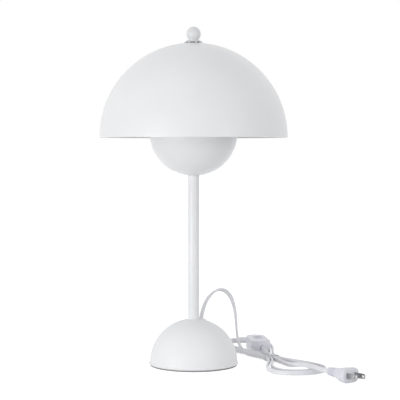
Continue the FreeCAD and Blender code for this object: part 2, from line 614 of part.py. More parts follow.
# The shade with its vent holes, the vent cap on eight posts, the washer and the ball
VENT_STEP = 45
FIRST_POST = 16
POST_ANGLES = range(FIRST_POST, FIRST_POST + 360, VENT_STEP)
HOLE_ANGLES = range(FIRST_POST + VENT_STEP // 2, FIRST_POST + 360, VENT_STEP)
vent_holes = [cylinder(f"vent_hole_{angle}", "vent_hole_radius", "3 * shade_wall",
                       f"vent_hole_circle * cos({angle})", f"vent_hole_circle * sin({angle})",
                       "shade_under - shade_wall") for angle in HOLE_ANGLES]
shade_blank = revolved("shade_blank", [
    ("stud_hole", "shade_under"),
    ("sqrt((shade_radius - shade_wall) ^ 2 - (shade_under - shade_centre) ^ 2)", "shade_under",
     ("0", "shade_centre", "right")),
    ("shade_radius - shade_wall", "shade_centre"),
    ("shade_radius - shade_wall", "shade_rim_height"),
    ("shade_radius", "shade_rim_height"),
    ("shade_radius", "shade_centre", ("0", "shade_centre", "left")),
    ("shade_crown_radius", "shade_top"),
    ("stud_hole", "shade_top")])
keep(cut("shade", shade_blank, *vent_holes))
vent_cap_blank = revolved("vent_cap_blank", [
    ("vent_cap_radius - 2 * vent_cap_wall", "shade_top"),
    ("vent_cap_radius", "shade_top"),
    ("vent_cap_top_radius", "vent_cap_top"),
    ("stud_hole", "vent_cap_top"),
    ("stud_hole", "vent_cap_top - vent_cap_wall"),
    ("vent_cap_top_radius - vent_cap_wall", "vent_cap_top - vent_cap_wall")])
slot_ring = ring("vent_slot_ring", "vent_cap_top_radius", "vent_cap_radius + vent_cap_wall",
                 "shade_top - vent_cap_wall", "shade_top + vent_slot_height")
posts = []
for angle in POST_ANGLES:
    post = doc.addObject("Part::Box", f"vent_post_{angle}")
    bind(post, Length="vent_cap_radius + 2 * vent_cap_wall", Width="vent_post_width",
         Height="vent_slot_height + 2 * vent_cap_wall")
    place(post, f"vent_post_width / 2 * sin({angle})", f"-vent_post_width / 2 * cos({angle})",
          "shade_top - vent_cap_wall", Rotation(Vector(0, 0, 1), angle))
    posts.append(post)
keep(cut("vent_cap", vent_cap_blank, cut("vent_slots", slot_ring, *posts)))
keep(ring("finial_washer", "stud_hole", "finial_neck_radius", "vent_cap_top", "finial_foot"))
keep(revolved("finial_ball", [
    ("stud_hole", "finial_foot"),
    ("finial_neck_radius", "finial_foot"),
    ("finial_neck_radius", "finial_foot + finial_collar", ("0", "finial_centre", "left")),
    ("0", "finial_centre + finial_radius"),
    ("0", "finial_foot + finial_bore_depth"),
    ("stud_hole", "finial_foot + finial_bore_depth")]))


# Places in the hank's own frame: along it from the waist, and across it to the right
def on_hank(along, across):
    return (f"hank_x - ({along}) * sin(hank_turn) + ({across}) * cos(hank_turn)",
            f"hank_y + ({along}) * cos(hank_turn) + ({across}) * sin(hank_turn)")


# The inline switch, built about its own middle on the table and then set into the hank
def octagon(inset):
    """The switch's outline with chamfered corners, drawn in by a wall."""
    end = f"(switch_length / 2 - {inset})"
    edge = f"(switch_width / 2 - {inset})"
    corner = f"(switch_corner - (2 - sqrt(2)) * {inset})"
    return [
        (f"-{end} + {corner}", f"-{edge}"),
        (f"{end} - {corner}", f"-{edge}"),
        (end, f"-{edge} + {corner}"),
        (end, f"{edge} - {corner}"),
        (f"{end} - {corner}", edge),
        (f"-{end} + {corner}", edge),
        (f"-{end}", f"{edge} - {corner}"),
        (f"-{end}", f"-{edge} + {corner}")]


def oval(length, width):
    """A long round outline: two straight sides and two half circles."""
    straight = f"(({length}) - ({width})) / 2"
    return [
        (f"-{straight}", f"-({width}) / 2"),
        (straight, f"-({width}) / 2", (straight, "0", "left")),
        (straight, f"({width}) / 2"),
        (f"-{straight}", f"({width}) / 2", (f"-{straight}", "0", "left"))]


def round_face(body, radius, upward):
    """Round the edges of a body's top or bottom face."""
    doc.recompute()
    base = body.Tip
    faces = base.Shape.Faces
    heights = [face.CenterOfMass.z for face in faces]
    chosen = heights.index(max(heights) if upward else min(heights))
    fillet = body.newObject("PartDesign::Fillet", body.Name + "_round")
    fillet.Base = (base, [f"Face{chosen + 1}"])
    bind(fillet, Radius=radius)
    body.Tip = fillet
    return body


SWITCH_TURN = 90 + size("hank_turn") - size("switch_lean")


def into_hank(piece, height="floor_gap"):
    """Set a piece of the switch from its own frame into the hank."""
    return place(piece, *on_hank("switch_along", "switch_across"), height,
                 Rotation(Vector(0, 0, 1), SWITCH_TURN))


SCREW_POSTS = (("near", "-post_along", "post_across"), ("far", "post_along", "-post_across"))


def switch_screw(name, gap, head_foot, x, y):
    """A screw that closes the switch, or with a gap its hole, open below."""
    screw = revolved(name, [
        ("0", head_foot),
        (f"2 * switch_screw_radius + {gap}", head_foot),
        (f"2 * switch_screw_radius + {gap}", "switch_screw_sink + switch_screw_radius"),
        (f"switch_screw_radius + {gap}", "switch_screw_sink + switch_screw_radius"),
        (f"switch_screw_radius + {gap}", f"switch_height / 2 + switch_screw_reach + {gap}"),
        ("0", f"switch_height / 2 + switch_screw_reach + {gap}")])
    return place(screw, x, y)


def switch_posts(half, foot, top):
    return [cylinder(f"switch_{half}_post_{end}", "post_radius", f"({top}) - ({foot})", x, y, foot)
            for end, x, y in SCREW_POSTS]


post_holes = [switch_screw(f"switch_screw_hole_{end}", "thread_gap", "-switch_wall", x, y)
              for end, x, y in SCREW_POSTS]
cord_holes = [block(f"switch_cord_hole_{end}", "3 * switch_wall", "cord_thickness + 2 * cord_gap",
                    "cord_width + 2 * cord_gap", f"{sign} * switch_length / 2",
                    z="switch_height / 2 - cord_width / 2 - cord_gap")
              for end, sign in (("near", "-1"), ("far", "1"))]
lower_block = round_face(extruded("switch_lower_block", octagon("0"), "0", "switch_height / 2"),
                         "switch_round", False)
lower_room = extruded("switch_lower_room", octagon("switch_wall"), "switch_wall", "switch_height")
lower_shell = joined("switch_lower_walls", cut("switch_lower_tray", lower_block, lower_room),
                     *switch_posts("lower", "switch_wall / 2", "switch_height / 2"))
keep(into_hank(cut("switch_lower_shell", lower_shell, *post_holes, *cord_holes)))

upper_block = round_face(extruded("switch_upper_block", octagon("0"), "switch_height / 2",
                                  "switch_height / 2"), "switch_round", True)
upper_room = extruded("switch_upper_room", octagon("switch_wall"), "0", "switch_height - switch_wall")
oval_ring = extruded("switch_oval_ring", oval("opening_length + 2 * ring_wall",
                                              "opening_width + 2 * ring_wall"),
                     "switch_height - switch_wall / 2", "ring_stand + switch_wall / 2")
lug_height = "2 * rocker_pin_radius"
lugs = [block(f"switch_lug_{end}", "4 * rocker_pin_radius", "lug_width",
              f"rocker_pin_drop - switch_wall / 2 + {lug_height}", "0", f"{sign} * lug_across",
              f"pin_height - {lug_height}") for end, sign in (("front", "-1"), ("back", "1"))]
upper_shell = joined("switch_upper_walls", cut("switch_upper_lid", upper_block, upper_room), oval_ring,
                     *lugs, *switch_posts("upper", "switch_height / 2", "switch_height - switch_wall / 2"))
rocker_opening = extruded("rocker_opening", oval("opening_length", "opening_width"),
                          "switch_height - 2 * switch_wall", "4 * switch_wall")
FLAT_ACROSS = Rotation(Vector(1, 0, 0), -90)
pin_length = "2 * lug_across + lug_width"
pin_drill = cylinder("rocker_pin_drill", "rocker_pin_radius + thread_gap", pin_length, "0",
                     f"-({pin_length}) / 2", "pin_height", FLAT_ACROSS)
keep(into_hank(cut("switch_upper_shell", upper_shell, rocker_opening, pin_drill, *post_holes, *cord_holes)))
keep(into_hank(grouped("switch_screws", *[
    switch_screw(f"switch_screw_{end}", "0", "switch_screw_sink", x, y) for end, x, y in SCREW_POSTS])))
pin_blank = cylinder("rocker_pin_blank", "rocker_pin_radius", pin_length, "0", f"-({pin_length}) / 2",
                     "pin_height", FLAT_ACROSS)
keep(into_hank(grouped("rocker_pin", pin_blank)))
keep(into_hank(grouped("switch_terminals", *[
    block(f"switch_terminal_{end}", "terminal_length", "terminal_width", "terminal_height",
          f"{sign} * terminal_along", z="switch_wall") for end, sign in (("near", "-1"), ("far", "1"))])))
spring_foot = "(switch_wall + terminal_height)"
spring_line = [("-1 * (terminal_along + terminal_length / 2)", "0"), ("-terminal_along", "0"),
               ("-terminal_length / 2", "spring_rise"), ("terminal_length / 2", "spring_rise"),
               ("terminal_along", "0"), ("terminal_along + terminal_length / 2", "0")]
spring_outline = [(x, f"{spring_foot} + {rise}") for x, rise in spring_line]
spring_outline += [(x, f"{spring_foot} + {rise} + spring_thickness") for x, rise in reversed(spring_line)]
spring_blank = extruded("switch_spring_strip", spring_outline, "-terminal_width / 2", "terminal_width",
                        "XZ_Plane")
keep(into_hank(grouped("switch_spring", spring_blank)))

# The rocker, built about its pin and set down tilted to its off side
rocker_top = "rocker_pin_drop + rocker_stand"
rocker_blank = extruded("rocker_blank", oval("rocker_length", "rocker_width"),
                        "rocker_pin_drop - rocker_depth", "rocker_depth + rocker_stand")
rocker_bore = cylinder("rocker_bore", "rocker_pin_radius + thread_gap", "2 * rocker_width", "0",
                       "-rocker_width", "0", FLAT_ACROSS)
rocker_hollow = cylinder("rocker_hollow", "rocker_dish_radius", "2 * rocker_width", "0", "-rocker_width",
                         f"{rocker_top} + rocker_dish_radius - rocker_dish", FLAT_ACROSS)
rocker = cut("switch_rocker", rocker_blank, rocker_bore, rocker_hollow)
keep(place(rocker, *on_hank("switch_along", "switch_across"), "floor_gap + pin_height",
           Rotation(SWITCH_TURN, size("rocker_tilt"), 0)))

# The plug: a body that flares from its tail to its face, and two flat blades moulded into it
PLUG_TURN = size("hank_turn") - 90 + size("plug_lean")
# Shares of the plug's length, and how far it has swollen there from its tail to its face
PLUG_SECTIONS = ((0, 0), (0.3, 0.22), (0.68, 0.8), (1, 1))


def plug_section(body, index, share, swell):
    """An octagonal section of the plug at a share of its length, swollen from tail to face."""
    half_width = f"(plug_tail_width + (plug_width - plug_tail_width) * {swell}) / 2"
    half_height = f"(plug_tail_height + (plug_height - plug_tail_height) * {swell}) / 2"
    corner = f"{half_height} * plug_corner"
    corners = [
        (f"-{half_width} + {corner}", f"-{half_height}"),
        (f"{half_width} - {corner}", f"-{half_height}"),
        (half_width, f"-{half_height} + {corner}"),
        (half_width, f"{half_height} - {corner}"),
        (f"{half_width} - {corner}", half_height),
        (f"-{half_width} + {corner}", half_height),
        (f"-{half_width}", f"{half_height} - {corner}"),
        (f"-{half_width}", f"-{half_height} + {corner}")]
    return outline(body, f"plug_section_{index}", "YZ_Plane", corners, f"plug_length * {share}")


plug_blank = doc.addObject("PartDesign::Body", "plug_blank")
sections = [plug_section(plug_blank, index, *entry) for index, entry in enumerate(PLUG_SECTIONS)]
plug_loft = plug_blank.newObject("PartDesign::AdditiveLoft", "plug_loft")
plug_loft.Ruled = True
plug_loft.Profile = sections[0]
plug_loft.Sections = sections[1:]


def blade(name, gap, y):
    """A blade lying along X with its flat upright, or with a gap its slot in the plug."""
    return block(name, f"blade_root + blade_length + {gap}", f"blade_thickness + 2 * {gap}",
                 f"blade_width + 2 * {gap}",
                 f"plug_length - blade_root / 2 + blade_length / 2 - {gap} / 2", y,
                 f"-blade_width / 2 - {gap}")


def onto_table(piece):
    """Set a piece of the plug from its own frame to the end of the cord."""
    return place(piece, *on_hank("plug_along", "plug_across"), "plug_middle",
                 Rotation(Vector(0, 0, 1), PLUG_TURN))


BLADES = (("left", "blade_spacing / 2"), ("right", "-blade_spacing / 2"))
slots = [blade(f"blade_slot_{side}", "thread_gap", y) for side, y in BLADES]
keep(onto_table(cut("plug_body", plug_blank, *slots)))
for side, y in BLADES:
    hole = cylinder(f"blade_hole_{side}", "blade_hole_radius", "4 * blade_thickness",
                    "plug_length + blade_length - blade_width / 2", f"({y}) - 2 * blade_thickness", "0",
                    FLAT_ACROSS)
    keep(onto_table(cut(f"plug_blade_{side}", blade(f"blade_blank_{side}", "0", y), hole)))

# The tie: a thin band around the strands at the hank's waist
band_width = "(4 * strand_pitch + cord_thickness + 2 * hole_gap)"
band_height = "(cord_width + 2 * hole_gap)"
band = block("tie_band", "tie_length", f"{band_width} + 2 * tie_thickness",
             f"{band_height} + 2 * tie_thickness", z="floor_gap")
band_room = block("tie_room", "2 * tie_length", band_width, band_height, z="floor_gap + tie_thickness")
keep(place(cut("cord_tie", band, band_room), *on_hank("0", "0"), "0",
           Rotation(Vector(0, 0, 1), 90 + size("hank_turn"))))


# The cord: one flat twin cord in four solids, inside the lamp, over the arch, and in the hank
IN_LINE = 0.0005
TRIM_SHARE = 0.45


def tangent_edge(start, heading, stop):
    """The arc that leaves start along heading and ends at stop, or a line if they are in line."""
    chord = stop - start
    along = Vector(chord).normalize()
    side = heading - along * heading.dot(along)
    if side.Length < IN_LINE:
        return Part.LineSegment(start, stop).toShape()
    turn = heading.getAngle(along)
    sagitta = chord.Length / 2 * math.tan(turn / 2)
    return Part.Arc(start, (start + stop) / 2 + side.normalize() * sagitta, stop).toShape()


def biarc(start, heading, stop, leaving):
    """Two arcs that join smoothly, from start along heading to stop along leaving."""
    chord = stop - start
    total = heading + leaving
    spread = 2 * (1 - heading.dot(leaving))
    if spread < IN_LINE ** 2:
        reach = chord.dot(chord) / (4 * chord.dot(leaving))
    else:
        reach = (math.sqrt(chord.dot(total) ** 2 + spread * chord.dot(chord)) - chord.dot(total)) / spread
    middle = (start + stop + (heading - leaving) * reach) / 2
    first = middle - start
    turned = first * (2 * first.dot(heading) / first.dot(first)) - heading
    return [tangent_edge(start, heading, middle), tangent_edge(middle, turned, stop)]


def flat_section(spot, heading, wide):
    """The cord's rounded section at a spot, square to its heading, with its width along wide."""
    thin = heading.cross(wide).normalize()
    round_radius = size("cord_thickness / 2")
    reach = wide * (size("cord_width / 2") - round_radius)
    edge = thin * round_radius
    tip = wide * size("cord_width / 2")
    return Part.Wire([
        Part.LineSegment(spot - reach + edge, spot + reach + edge).toShape(),
        Part.Arc(spot + reach + edge, spot + tip, spot + reach - edge).toShape(),
        Part.LineSegment(spot + reach - edge, spot - reach - edge).toShape(),
        Part.Arc(spot - reach - edge, spot - tip, spot - reach + edge).toShape()])


def cord_piece(label, edges, heading, wide):
    """A stretch of cord swept along its edges. Its volume is set against its section times its length."""
    spine = Part.Wire(edges)
    start = edges[0].valueAt(edges[0].FirstParameter)
    section = flat_section(start, heading, wide)
    piece = doc.addObject("Part::Feature", label)
    piece.Shape = spine.makePipeShell([section], True, False)
    expected = Part.Face(section).Area * spine.Length
    print(f"{label}: length {spine.Length:.1f} mm, volume over section times length"
          f" {piece.Shape.Volume / expected:.4f}")
    return keep(piece)


UP = Vector(0, 0, 1)
azimuth = math.radians(size("exit_azimuth"))
outlet_axis = EXIT_TURN.multVec(UP)
outlet_side = Vector(-math.sin(azimuth), math.cos(azimuth), 0)
outlet_mouth = Vector(*[size(formula) for formula in on_outlet("dome_radius + bushing_lip")])

# Inside: down through the bushing, a turn into the threaded tube, and up the pole to the lampholder
inner_bend = Vector(*[size(formula) for formula in on_outlet("dome_radius - bushing_depth")])
turn_end = Vector(0, 0, size("turn_height"))
inner_edges = [
    Part.LineSegment(outlet_mouth, inner_bend).toShape(),
    tangent_edge(inner_bend, -outlet_axis, turn_end),
    Part.LineSegment(turn_end, Vector(0, 0, size("socket_floor_top - cord_gap"))).toShape()]
cord_piece("cord_inner", inner_edges, -outlet_axis, outlet_side)

# Outside: straight out of the bushing, over in an arch and down behind the dome to the hank
LEAD_POINTS = [
    (10.9, 15.6, 64.3),
    (14.5, 20.2, 74.8),
    (21.3, 28.6, 83.8),
    (30.5, 40, 89),
    (40, 51.6, 86.4),
    (47.6, 61.4, 77),
    (52.2, 68, 62.4),
    (54.4, 71.6, 46),
    (55.2, 74, 30.5),
    (57.2, 71.9, 17),
    (61.3, 67.4, 8.2),
    (67.6, 60.6, 3.95),
]


def rounded_edges(points):
    """Straight runs joined by arcs as large as the shorter run at each point allows."""
    edges = []
    last = points[0]
    for before, spot, after in zip(points, points[1:], points[2:]):
        arriving = (spot - before).normalize()
        leaving = (after - spot).normalize()
        trim = TRIM_SHARE * min((spot - before).Length, (after - spot).Length)
        turn = arriving.getAngle(leaving)
        print(f"  lead bend radius {trim / math.tan(turn / 2):.1f} mm")
        edges.append(Part.LineSegment(last, spot - arriving * trim).toShape())
        last = spot + leaving * trim
        edges.append(tangent_edge(spot - arriving * trim, arriving, last))
    edges.append(Part.LineSegment(last, points[-1]).toShape())
    return edges


def hank_place(along, across, height):
    """A place in the lamp's frame from numbers in the hank's frame."""
    lean = math.radians(size("hank_turn"))
    return Vector(size("hank_x") - along * math.sin(lean) + across * math.cos(lean),
                  size("hank_y") + along * math.cos(lean) + across * math.sin(lean), height)


def hank_heading(along, across, slope=0):
    lean = math.radians(size("hank_turn"))
    flat = Vector(-along * math.sin(lean) + across * math.cos(lean),
                  along * math.cos(lean) + across * math.sin(lean), 0).normalize()
    return (flat + UP * slope).normalize()


hank_start = hank_place(size("entry_along"), size("entry_across"), size("strand_height"))
lead_route = [outlet_mouth] + [Vector(*point) for point in LEAD_POINTS] + [hank_start]
cord_piece("cord_lead", rounded_edges(lead_route), outlet_axis, outlet_side)

STRAND = size("strand_height")
PITCH = size("strand_pitch")
WAIST = size("waist_run / 2")
QUARTERS = (0.25, 0.5, 0.75)


def loop_station(side, loop, across_from, across_to, swing, share, height=STRAND, slope=0):
    """A place and heading on a loop, at a share of its half turn. Side is 1 for up, -1 for down."""
    length, bulge = size(loop + "_length"), size(loop + "_bulge")
    angle = math.pi * share
    along = side * (WAIST + length * math.sin(angle) ** 2)
    drift = across_to - across_from
    across = across_from + drift * (1 - math.cos(angle)) / 2
    across += swing * bulge * math.sin(2 * angle) * math.sin(angle) ** 2
    along_rate = side * length * math.sin(2 * angle)
    across_rate = drift * math.sin(angle) / 2
    across_rate += swing * bulge * (2 * math.cos(2 * angle) * math.sin(angle) ** 2 + math.sin(2 * angle) ** 2)
    return hank_place(along, across, height), hank_heading(along_rate, across_rate, slope)


def waist_stations(side, across):
    """Both ends of the straight run through the tie, going up for 1 and down for -1."""
    return [(hank_place(-side * WAIST, across, STRAND), hank_heading(side, 0)),
            (hank_place(side * WAIST, across, STRAND), hank_heading(side, 0))]


def switch_station(reach):
    """A place on the switch's own axis, from its middle."""
    lean = math.radians(size("switch_lean"))
    along = size("switch_along") + reach * math.cos(lean)
    across = size("switch_across") + reach * math.sin(lean)
    return hank_place(along, across, size("switch_middle")), hank_heading(math.cos(lean), math.sin(lean))


def smooth_edges(stations):
    """Pairs of arcs, or lines where two stations look straight at each other."""
    edges = []
    for (start, heading), (stop, leaving) in zip(stations, stations[1:]):
        along = (stop - start).normalize()
        if max(heading.getAngle(along), leaving.getAngle(along)) < IN_LINE:
            edges.append(Part.LineSegment(start, stop).toShape())
        else:
            edges += biarc(start, heading, stop, leaving)
    return edges


# The feed: in along the left, round the outer lower and upper loops and the inner lower one, to the switch
lead_heading = (lead_route[-1] - lead_route[-2]).normalize()
feed = [(hank_start, lead_heading)]
feed += waist_stations(-1, -2 * PITCH)
feed += [loop_station(-1, "lower_loop", -2 * PITCH, 2 * PITCH, -1, share) for share in QUARTERS]
feed += waist_stations(1, 2 * PITCH)
feed += [loop_station(1, "upper_loop", 2 * PITCH, -PITCH, 1, share) for share in QUARTERS]
feed += waist_stations(-1, -PITCH)
feed += [loop_station(-1, "lower_inner", -PITCH, PITCH, -1, share) for share in QUARTERS]
feed += waist_stations(1, PITCH)
switch_end = size("switch_length / 2")
grip = size("switch_grip")
straight = size("cord_straight")
feed += [switch_station(-switch_end - straight), switch_station(grip - switch_end)]

# The tail: out of the switch, over the inner upper loop, through the waist, and over the lower loops
plug_lean = math.radians(size("plug_lean"))
plug_heading = (-math.cos(plug_lean), math.sin(plug_lean))
plug_tail = hank_place(size("plug_along"), size("plug_across"), size("plug_middle"))
CROSSING = size("crossing_height")
# Shares of the inner loop, with the lift over the strands and the slope that is left there
TAIL_DROPS = ((0.53, 3.6, -0.05), (0.75, 0.4, -0.025))
# Places on the way to the plug: along and across the hank, height, and drift to the right
TAIL_POINTS = (
    (-58, 1, STRAND, 0.06),
    (-92, 5, CROSSING, 0.2),
    (-118, 11.5, CROSSING, 0.3),
)
tail = [switch_station(switch_end - grip), switch_station(switch_end + straight)]
tail += [loop_station(1, "inner_loop", PITCH, 0, 1, share, STRAND + lift, slope)
         for share, lift, slope in TAIL_DROPS]
tail += waist_stations(-1, 0)
tail += [(hank_place(along, across, height), hank_heading(-1, drift))
         for along, across, height, drift in TAIL_POINTS]
tail.append((plug_tail, hank_heading(*plug_heading)))

hank_edges = {}
for label, stations in (("cord_hank_feed", feed), ("cord_hank_tail", tail)):
    hank_edges[label] = smooth_edges(stations)
    radii = [edge.Curve.Radius for edge in hank_edges[label] if hasattr(edge.Curve, "Radius")]
    print(f"{label}: tightest bend {min(radii):.1f} mm")
    cord_piece(label, hank_edges[label], stations[0][1], UP)


MARK_SPACING = 1.5


def marks(edges):
    """Points along a line of edges, each with its distance from the line's start."""
    spots = []
    run = 0
    for edge in edges:
        count = max(2, int(edge.Length / MARK_SPACING))
        steps = edge.discretize(Number=count + 1)[:-1]
        spots += [(run + edge.Length * index / count, spot) for index, spot in enumerate(steps)]
        run += edge.Length
    return spots


def least_gap(first, second, apart):
    """The least gap between strands that stand on edge. Points of one line count if far apart along it."""
    thickness, width = size("cord_thickness"), size("cord_width")
    least = math.inf
    for run, spot in first:
        for other_run, other in second:
            if first is second and abs(run - other_run) < apart:
                continue
            step = spot - other
            beside = math.hypot(step.x, step.y) - thickness
            least = min(least, max(beside, abs(step.z) - width))
    return least


feed_marks = marks(hank_edges["cord_hank_feed"])
tail_marks = marks(hank_edges["cord_hank_tail"])
far_along = 4 * size("cord_width")
print(f"least gap of the feed to itself {least_gap(feed_marks, feed_marks, far_along):.2f} mm")
print(f"least gap of the tail to itself {least_gap(tail_marks, tail_marks, far_along):.2f} mm")
print(f"least gap of the feed to the tail {least_gap(feed_marks, tail_marks, far_along):.2f} mm")

# Check every object, then write each piece to its own file
doc.recompute()
for item in doc.Objects:
    if "Invalid" in item.State or "Error" in item.State:
        raise RuntimeError(f"{item.Name} failed: {item.State}")
for piece in NODES:
    if piece.Shape.isNull() or not piece.Shape.isValid():
        raise RuntimeError(f"{piece.Label} has no valid shape")
os.makedirs("parts", exist_ok=True)
for piece in NODES:
    piece.Shape.exportStep(f"parts/{piece.Label}.step")
print(f"{len(NODES)} pieces written")
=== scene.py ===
# %% [markdown]
# # A white mushroom table lamp
# The CAD frame brings every piece of the lamp at its real size: a domed shade over a round bowl, a slim
# pole, a domed base, and a flat cord with a switch and a plug. Its solids could be shown as they are, but
# their edges are plain and their surfaces bare. So this lesson dresses the lamp: each visible piece is
# turned, swept or bevelled again with finer edges, and gets its own finish.

# %% Load the frame
import json
from math import acos, asin, atan2, cos, degrees, hypot, pi, radians, sin, sqrt, tau

import bmesh
import bpy
from mathutils import Matrix, Vector


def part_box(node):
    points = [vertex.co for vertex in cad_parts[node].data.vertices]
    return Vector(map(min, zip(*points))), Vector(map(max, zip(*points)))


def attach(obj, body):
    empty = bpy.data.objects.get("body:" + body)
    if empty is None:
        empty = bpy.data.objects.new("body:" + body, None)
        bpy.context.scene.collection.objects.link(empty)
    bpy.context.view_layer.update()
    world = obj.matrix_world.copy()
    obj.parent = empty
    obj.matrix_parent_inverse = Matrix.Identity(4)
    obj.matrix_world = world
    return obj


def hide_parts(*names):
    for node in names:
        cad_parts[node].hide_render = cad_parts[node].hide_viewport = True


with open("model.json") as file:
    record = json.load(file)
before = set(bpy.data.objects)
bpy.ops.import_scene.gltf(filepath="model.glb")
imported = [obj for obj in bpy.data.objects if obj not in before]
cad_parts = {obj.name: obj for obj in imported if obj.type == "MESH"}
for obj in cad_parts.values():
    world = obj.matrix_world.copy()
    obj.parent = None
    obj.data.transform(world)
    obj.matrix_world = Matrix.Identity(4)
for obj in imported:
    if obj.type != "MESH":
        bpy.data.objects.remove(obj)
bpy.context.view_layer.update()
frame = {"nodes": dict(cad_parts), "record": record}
NODES = frame["nodes"]
MM = 0.001

# %% [markdown]
# ## The camera
# The photograph was taken from straight in front with a long lens, a finger's width below the rim of the
# shade, because the far inside wall shows as a thin line under it. A camera could be moved by hand until
# the picture looks right, but that is hard to repeat when a size of the lamp changes. So its place is
# worked out from two heights, the rim and the middle of the picture, and from how far the lamp stands left
# of that middle.


# %% Make the camera
def put(name, data):
    """An object with its data, linked to the scene."""
    thing = bpy.data.objects.new(name, data)
    bpy.context.scene.collection.objects.link(thing)
    return thing


RIM_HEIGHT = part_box("shade")[0].z
BELOW_RIM = 0.011
CAMERA_DISTANCE = 1.55
CAMERA_SIDE = 0.00785
PICTURE_MIDDLE = 0.2034

camera_data = bpy.data.cameras.new("camera")
camera_data.lens = 113.7
camera_data.sensor_width = 36
camera = put("camera", camera_data)
camera.location = (CAMERA_SIDE, -CAMERA_DISTANCE, RIM_HEIGHT - BELOW_RIM)
sight = Vector((CAMERA_SIDE, 0, PICTURE_MIDDLE)) - camera.location
camera.rotation_euler = sight.to_track_quat("-Z", "Y").to_euler()
bpy.context.scene.camera = camera
bpy.context.scene.view_settings.view_transform = "Standard"
print(f"camera {sight.length:.2f} m away")

# %% [markdown]
# ## The white studio
# The lamp stands on a white sweep before a white background. More light could make a grey floor look white,
# but it would burn out the lamp's paint as well. So floor and world are white to the camera and to
# reflections only, and light the lamp at a plain level. The floor still carries a soft shadow.


# %% Let the camera see white
def fill(node, **values):
    """Set sockets of a node by name, with an underscore for each space in the name."""
    for name, value in values.items():
        node.inputs[name.replace("_", " ")].default_value = value
    return node


def add_node(tree, kind, **values):
    """A new shader node with some of its sockets set."""
    return fill(tree.nodes.new("ShaderNode" + kind), **values)


def seen_directly(tree):
    """A socket that is 1 for rays from the camera, from a mirror or through glass, and 0 for other rays."""
    path = add_node(tree, "LightPath")
    seen = path.outputs["Is Camera Ray"]
    for ray in ("Is Glossy Ray", "Is Transmission Ray"):
        either = add_node(tree, "Math")
        either.operation = "MAXIMUM"
        tree.links.new(seen, either.inputs[0])
        tree.links.new(path.outputs[ray], either.inputs[1])
        seen = either.outputs[0]
    return seen


def show_white(tree, plain, white, output):
    """Give a white shader to the rays that see it directly, and a plain one to all others."""
    choice = add_node(tree, "MixShader")
    tree.links.new(seen_directly(tree), choice.inputs["Fac"])
    tree.links.new(plain.outputs[0], choice.inputs[1])
    tree.links.new(white.outputs[0], choice.inputs[2])
    tree.links.new(choice.outputs[0], add_node(tree, output).inputs["Surface"])


# %% Light the lamp from all around
AMBIENT = 0.735
COOL_WHITE = (0.985, 0.99, 1, 1)
world = bpy.data.worlds.new("white_studio")
bpy.context.scene.world = world
world.use_nodes = True
tree = world.node_tree
tree.nodes.clear()
around = add_node(tree, "Background", Strength=AMBIENT, Color=COOL_WHITE)
backdrop = add_node(tree, "Background", Color=(1, 1, 1, 1))
show_white(tree, around, backdrop, "OutputWorld")
print(f"world lights the lamp at {AMBIENT}")


# %% Lay the floor
def as_mesh(name, shape):
    """A mesh from a bmesh, which is used up."""
    mesh = bpy.data.meshes.new(name)
    shape.to_mesh(mesh)
    shape.free()
    return mesh


FLOOR_REACH = 12
FLOOR_GLOW = 0.62
FLOOR_GREY = (0.8, 0.8, 0.8, 1)
floor_paint = bpy.data.materials.new("floor_white")
floor_paint.use_nodes = True
tree = floor_paint.node_tree
tree.nodes.clear()
matt = add_node(tree, "BsdfDiffuse", Color=FLOOR_GREY)
glow = add_node(tree, "Emission", Strength=FLOOR_GLOW)
bright = add_node(tree, "AddShader")
tree.links.new(matt.outputs[0], bright.inputs[0])
tree.links.new(glow.outputs[0], bright.inputs[1])
show_white(tree, matt, bright, "OutputMaterial")

sweep = bmesh.new()
bmesh.ops.create_grid(sweep, x_segments=1, y_segments=1, size=FLOOR_REACH)
floor = put("floor", as_mesh("floor", sweep))
floor.data.materials.append(floor_paint)
print(f"floor {2 * FLOOR_REACH} m across")

# %% [markdown]
# ## The lights
# The paint is brightest low on its left, falls off slowly to the right, and has a weaker streak near the
# rim right of the middle. One strong lamp could light it, but it would leave a small hot spot and a hard
# shadow. So most of the light comes from all around, and two soft boxes shape it: a wide low card on the
# left, which also lights the bowl from below, and a narrow upright strip on the right. The camera sees
# neither of them, from whatever side it looks.

# %% Hang the soft boxes
LAMP_MIDDLE = Vector((0, 0, 0.22))


def soft_box(name, place, width, height, watts):
    """A rectangular light that looks at the middle of the lamp."""
    data = bpy.data.lights.new(name, "AREA")
    data.shape = "RECTANGLE"
    data.size = width
    data.size_y = height
    data.energy = watts
    light = put(name, data)
    light.location = place
    light.rotation_euler = (LAMP_MIDDLE - Vector(place)).to_track_quat("-Z", "Y").to_euler()
    light.visible_camera = False


soft_box("low_card", (-1.2, -1.2, 0.1), width=0.8, height=0.2, watts=8.2)
soft_box("strip_box", (1.19, -1.48, 0.3), width=0.18, height=0.8, watts=2.6)
print("two soft boxes")

# %% [markdown]
# ## Finishes
# Real surfaces are never one flat colour. Powder coat has a fine orange peel, brushed metal has hair lines,
# moulded plastic has a faint mottle. Pictures of such surfaces could be wrapped around the pieces, but they
# show seams, and blur close up. All of these are noise at the right scale, so noise drives every finish. It
# is read in the coordinates of the piece itself, and stays on the surface from every side.

# %% Noise that drives a finish
NOISE_LOW, NOISE_HIGH = 0.3, 0.7


def mottle(tree, grain, detail=2, stretch=(1, 1, 1)):
    """Noise with patches of a grain in metres, which may be drawn out along an axis."""
    where = add_node(tree, "TexCoord")
    drawn = add_node(tree, "Mapping", Scale=stretch)
    noise = add_node(tree, "TexNoise", Scale=1 / grain, Detail=detail)
    tree.links.new(where.outputs["Object"], drawn.inputs["Vector"])
    tree.links.new(drawn.outputs["Vector"], noise.inputs["Vector"])
    return noise.outputs["Fac"]


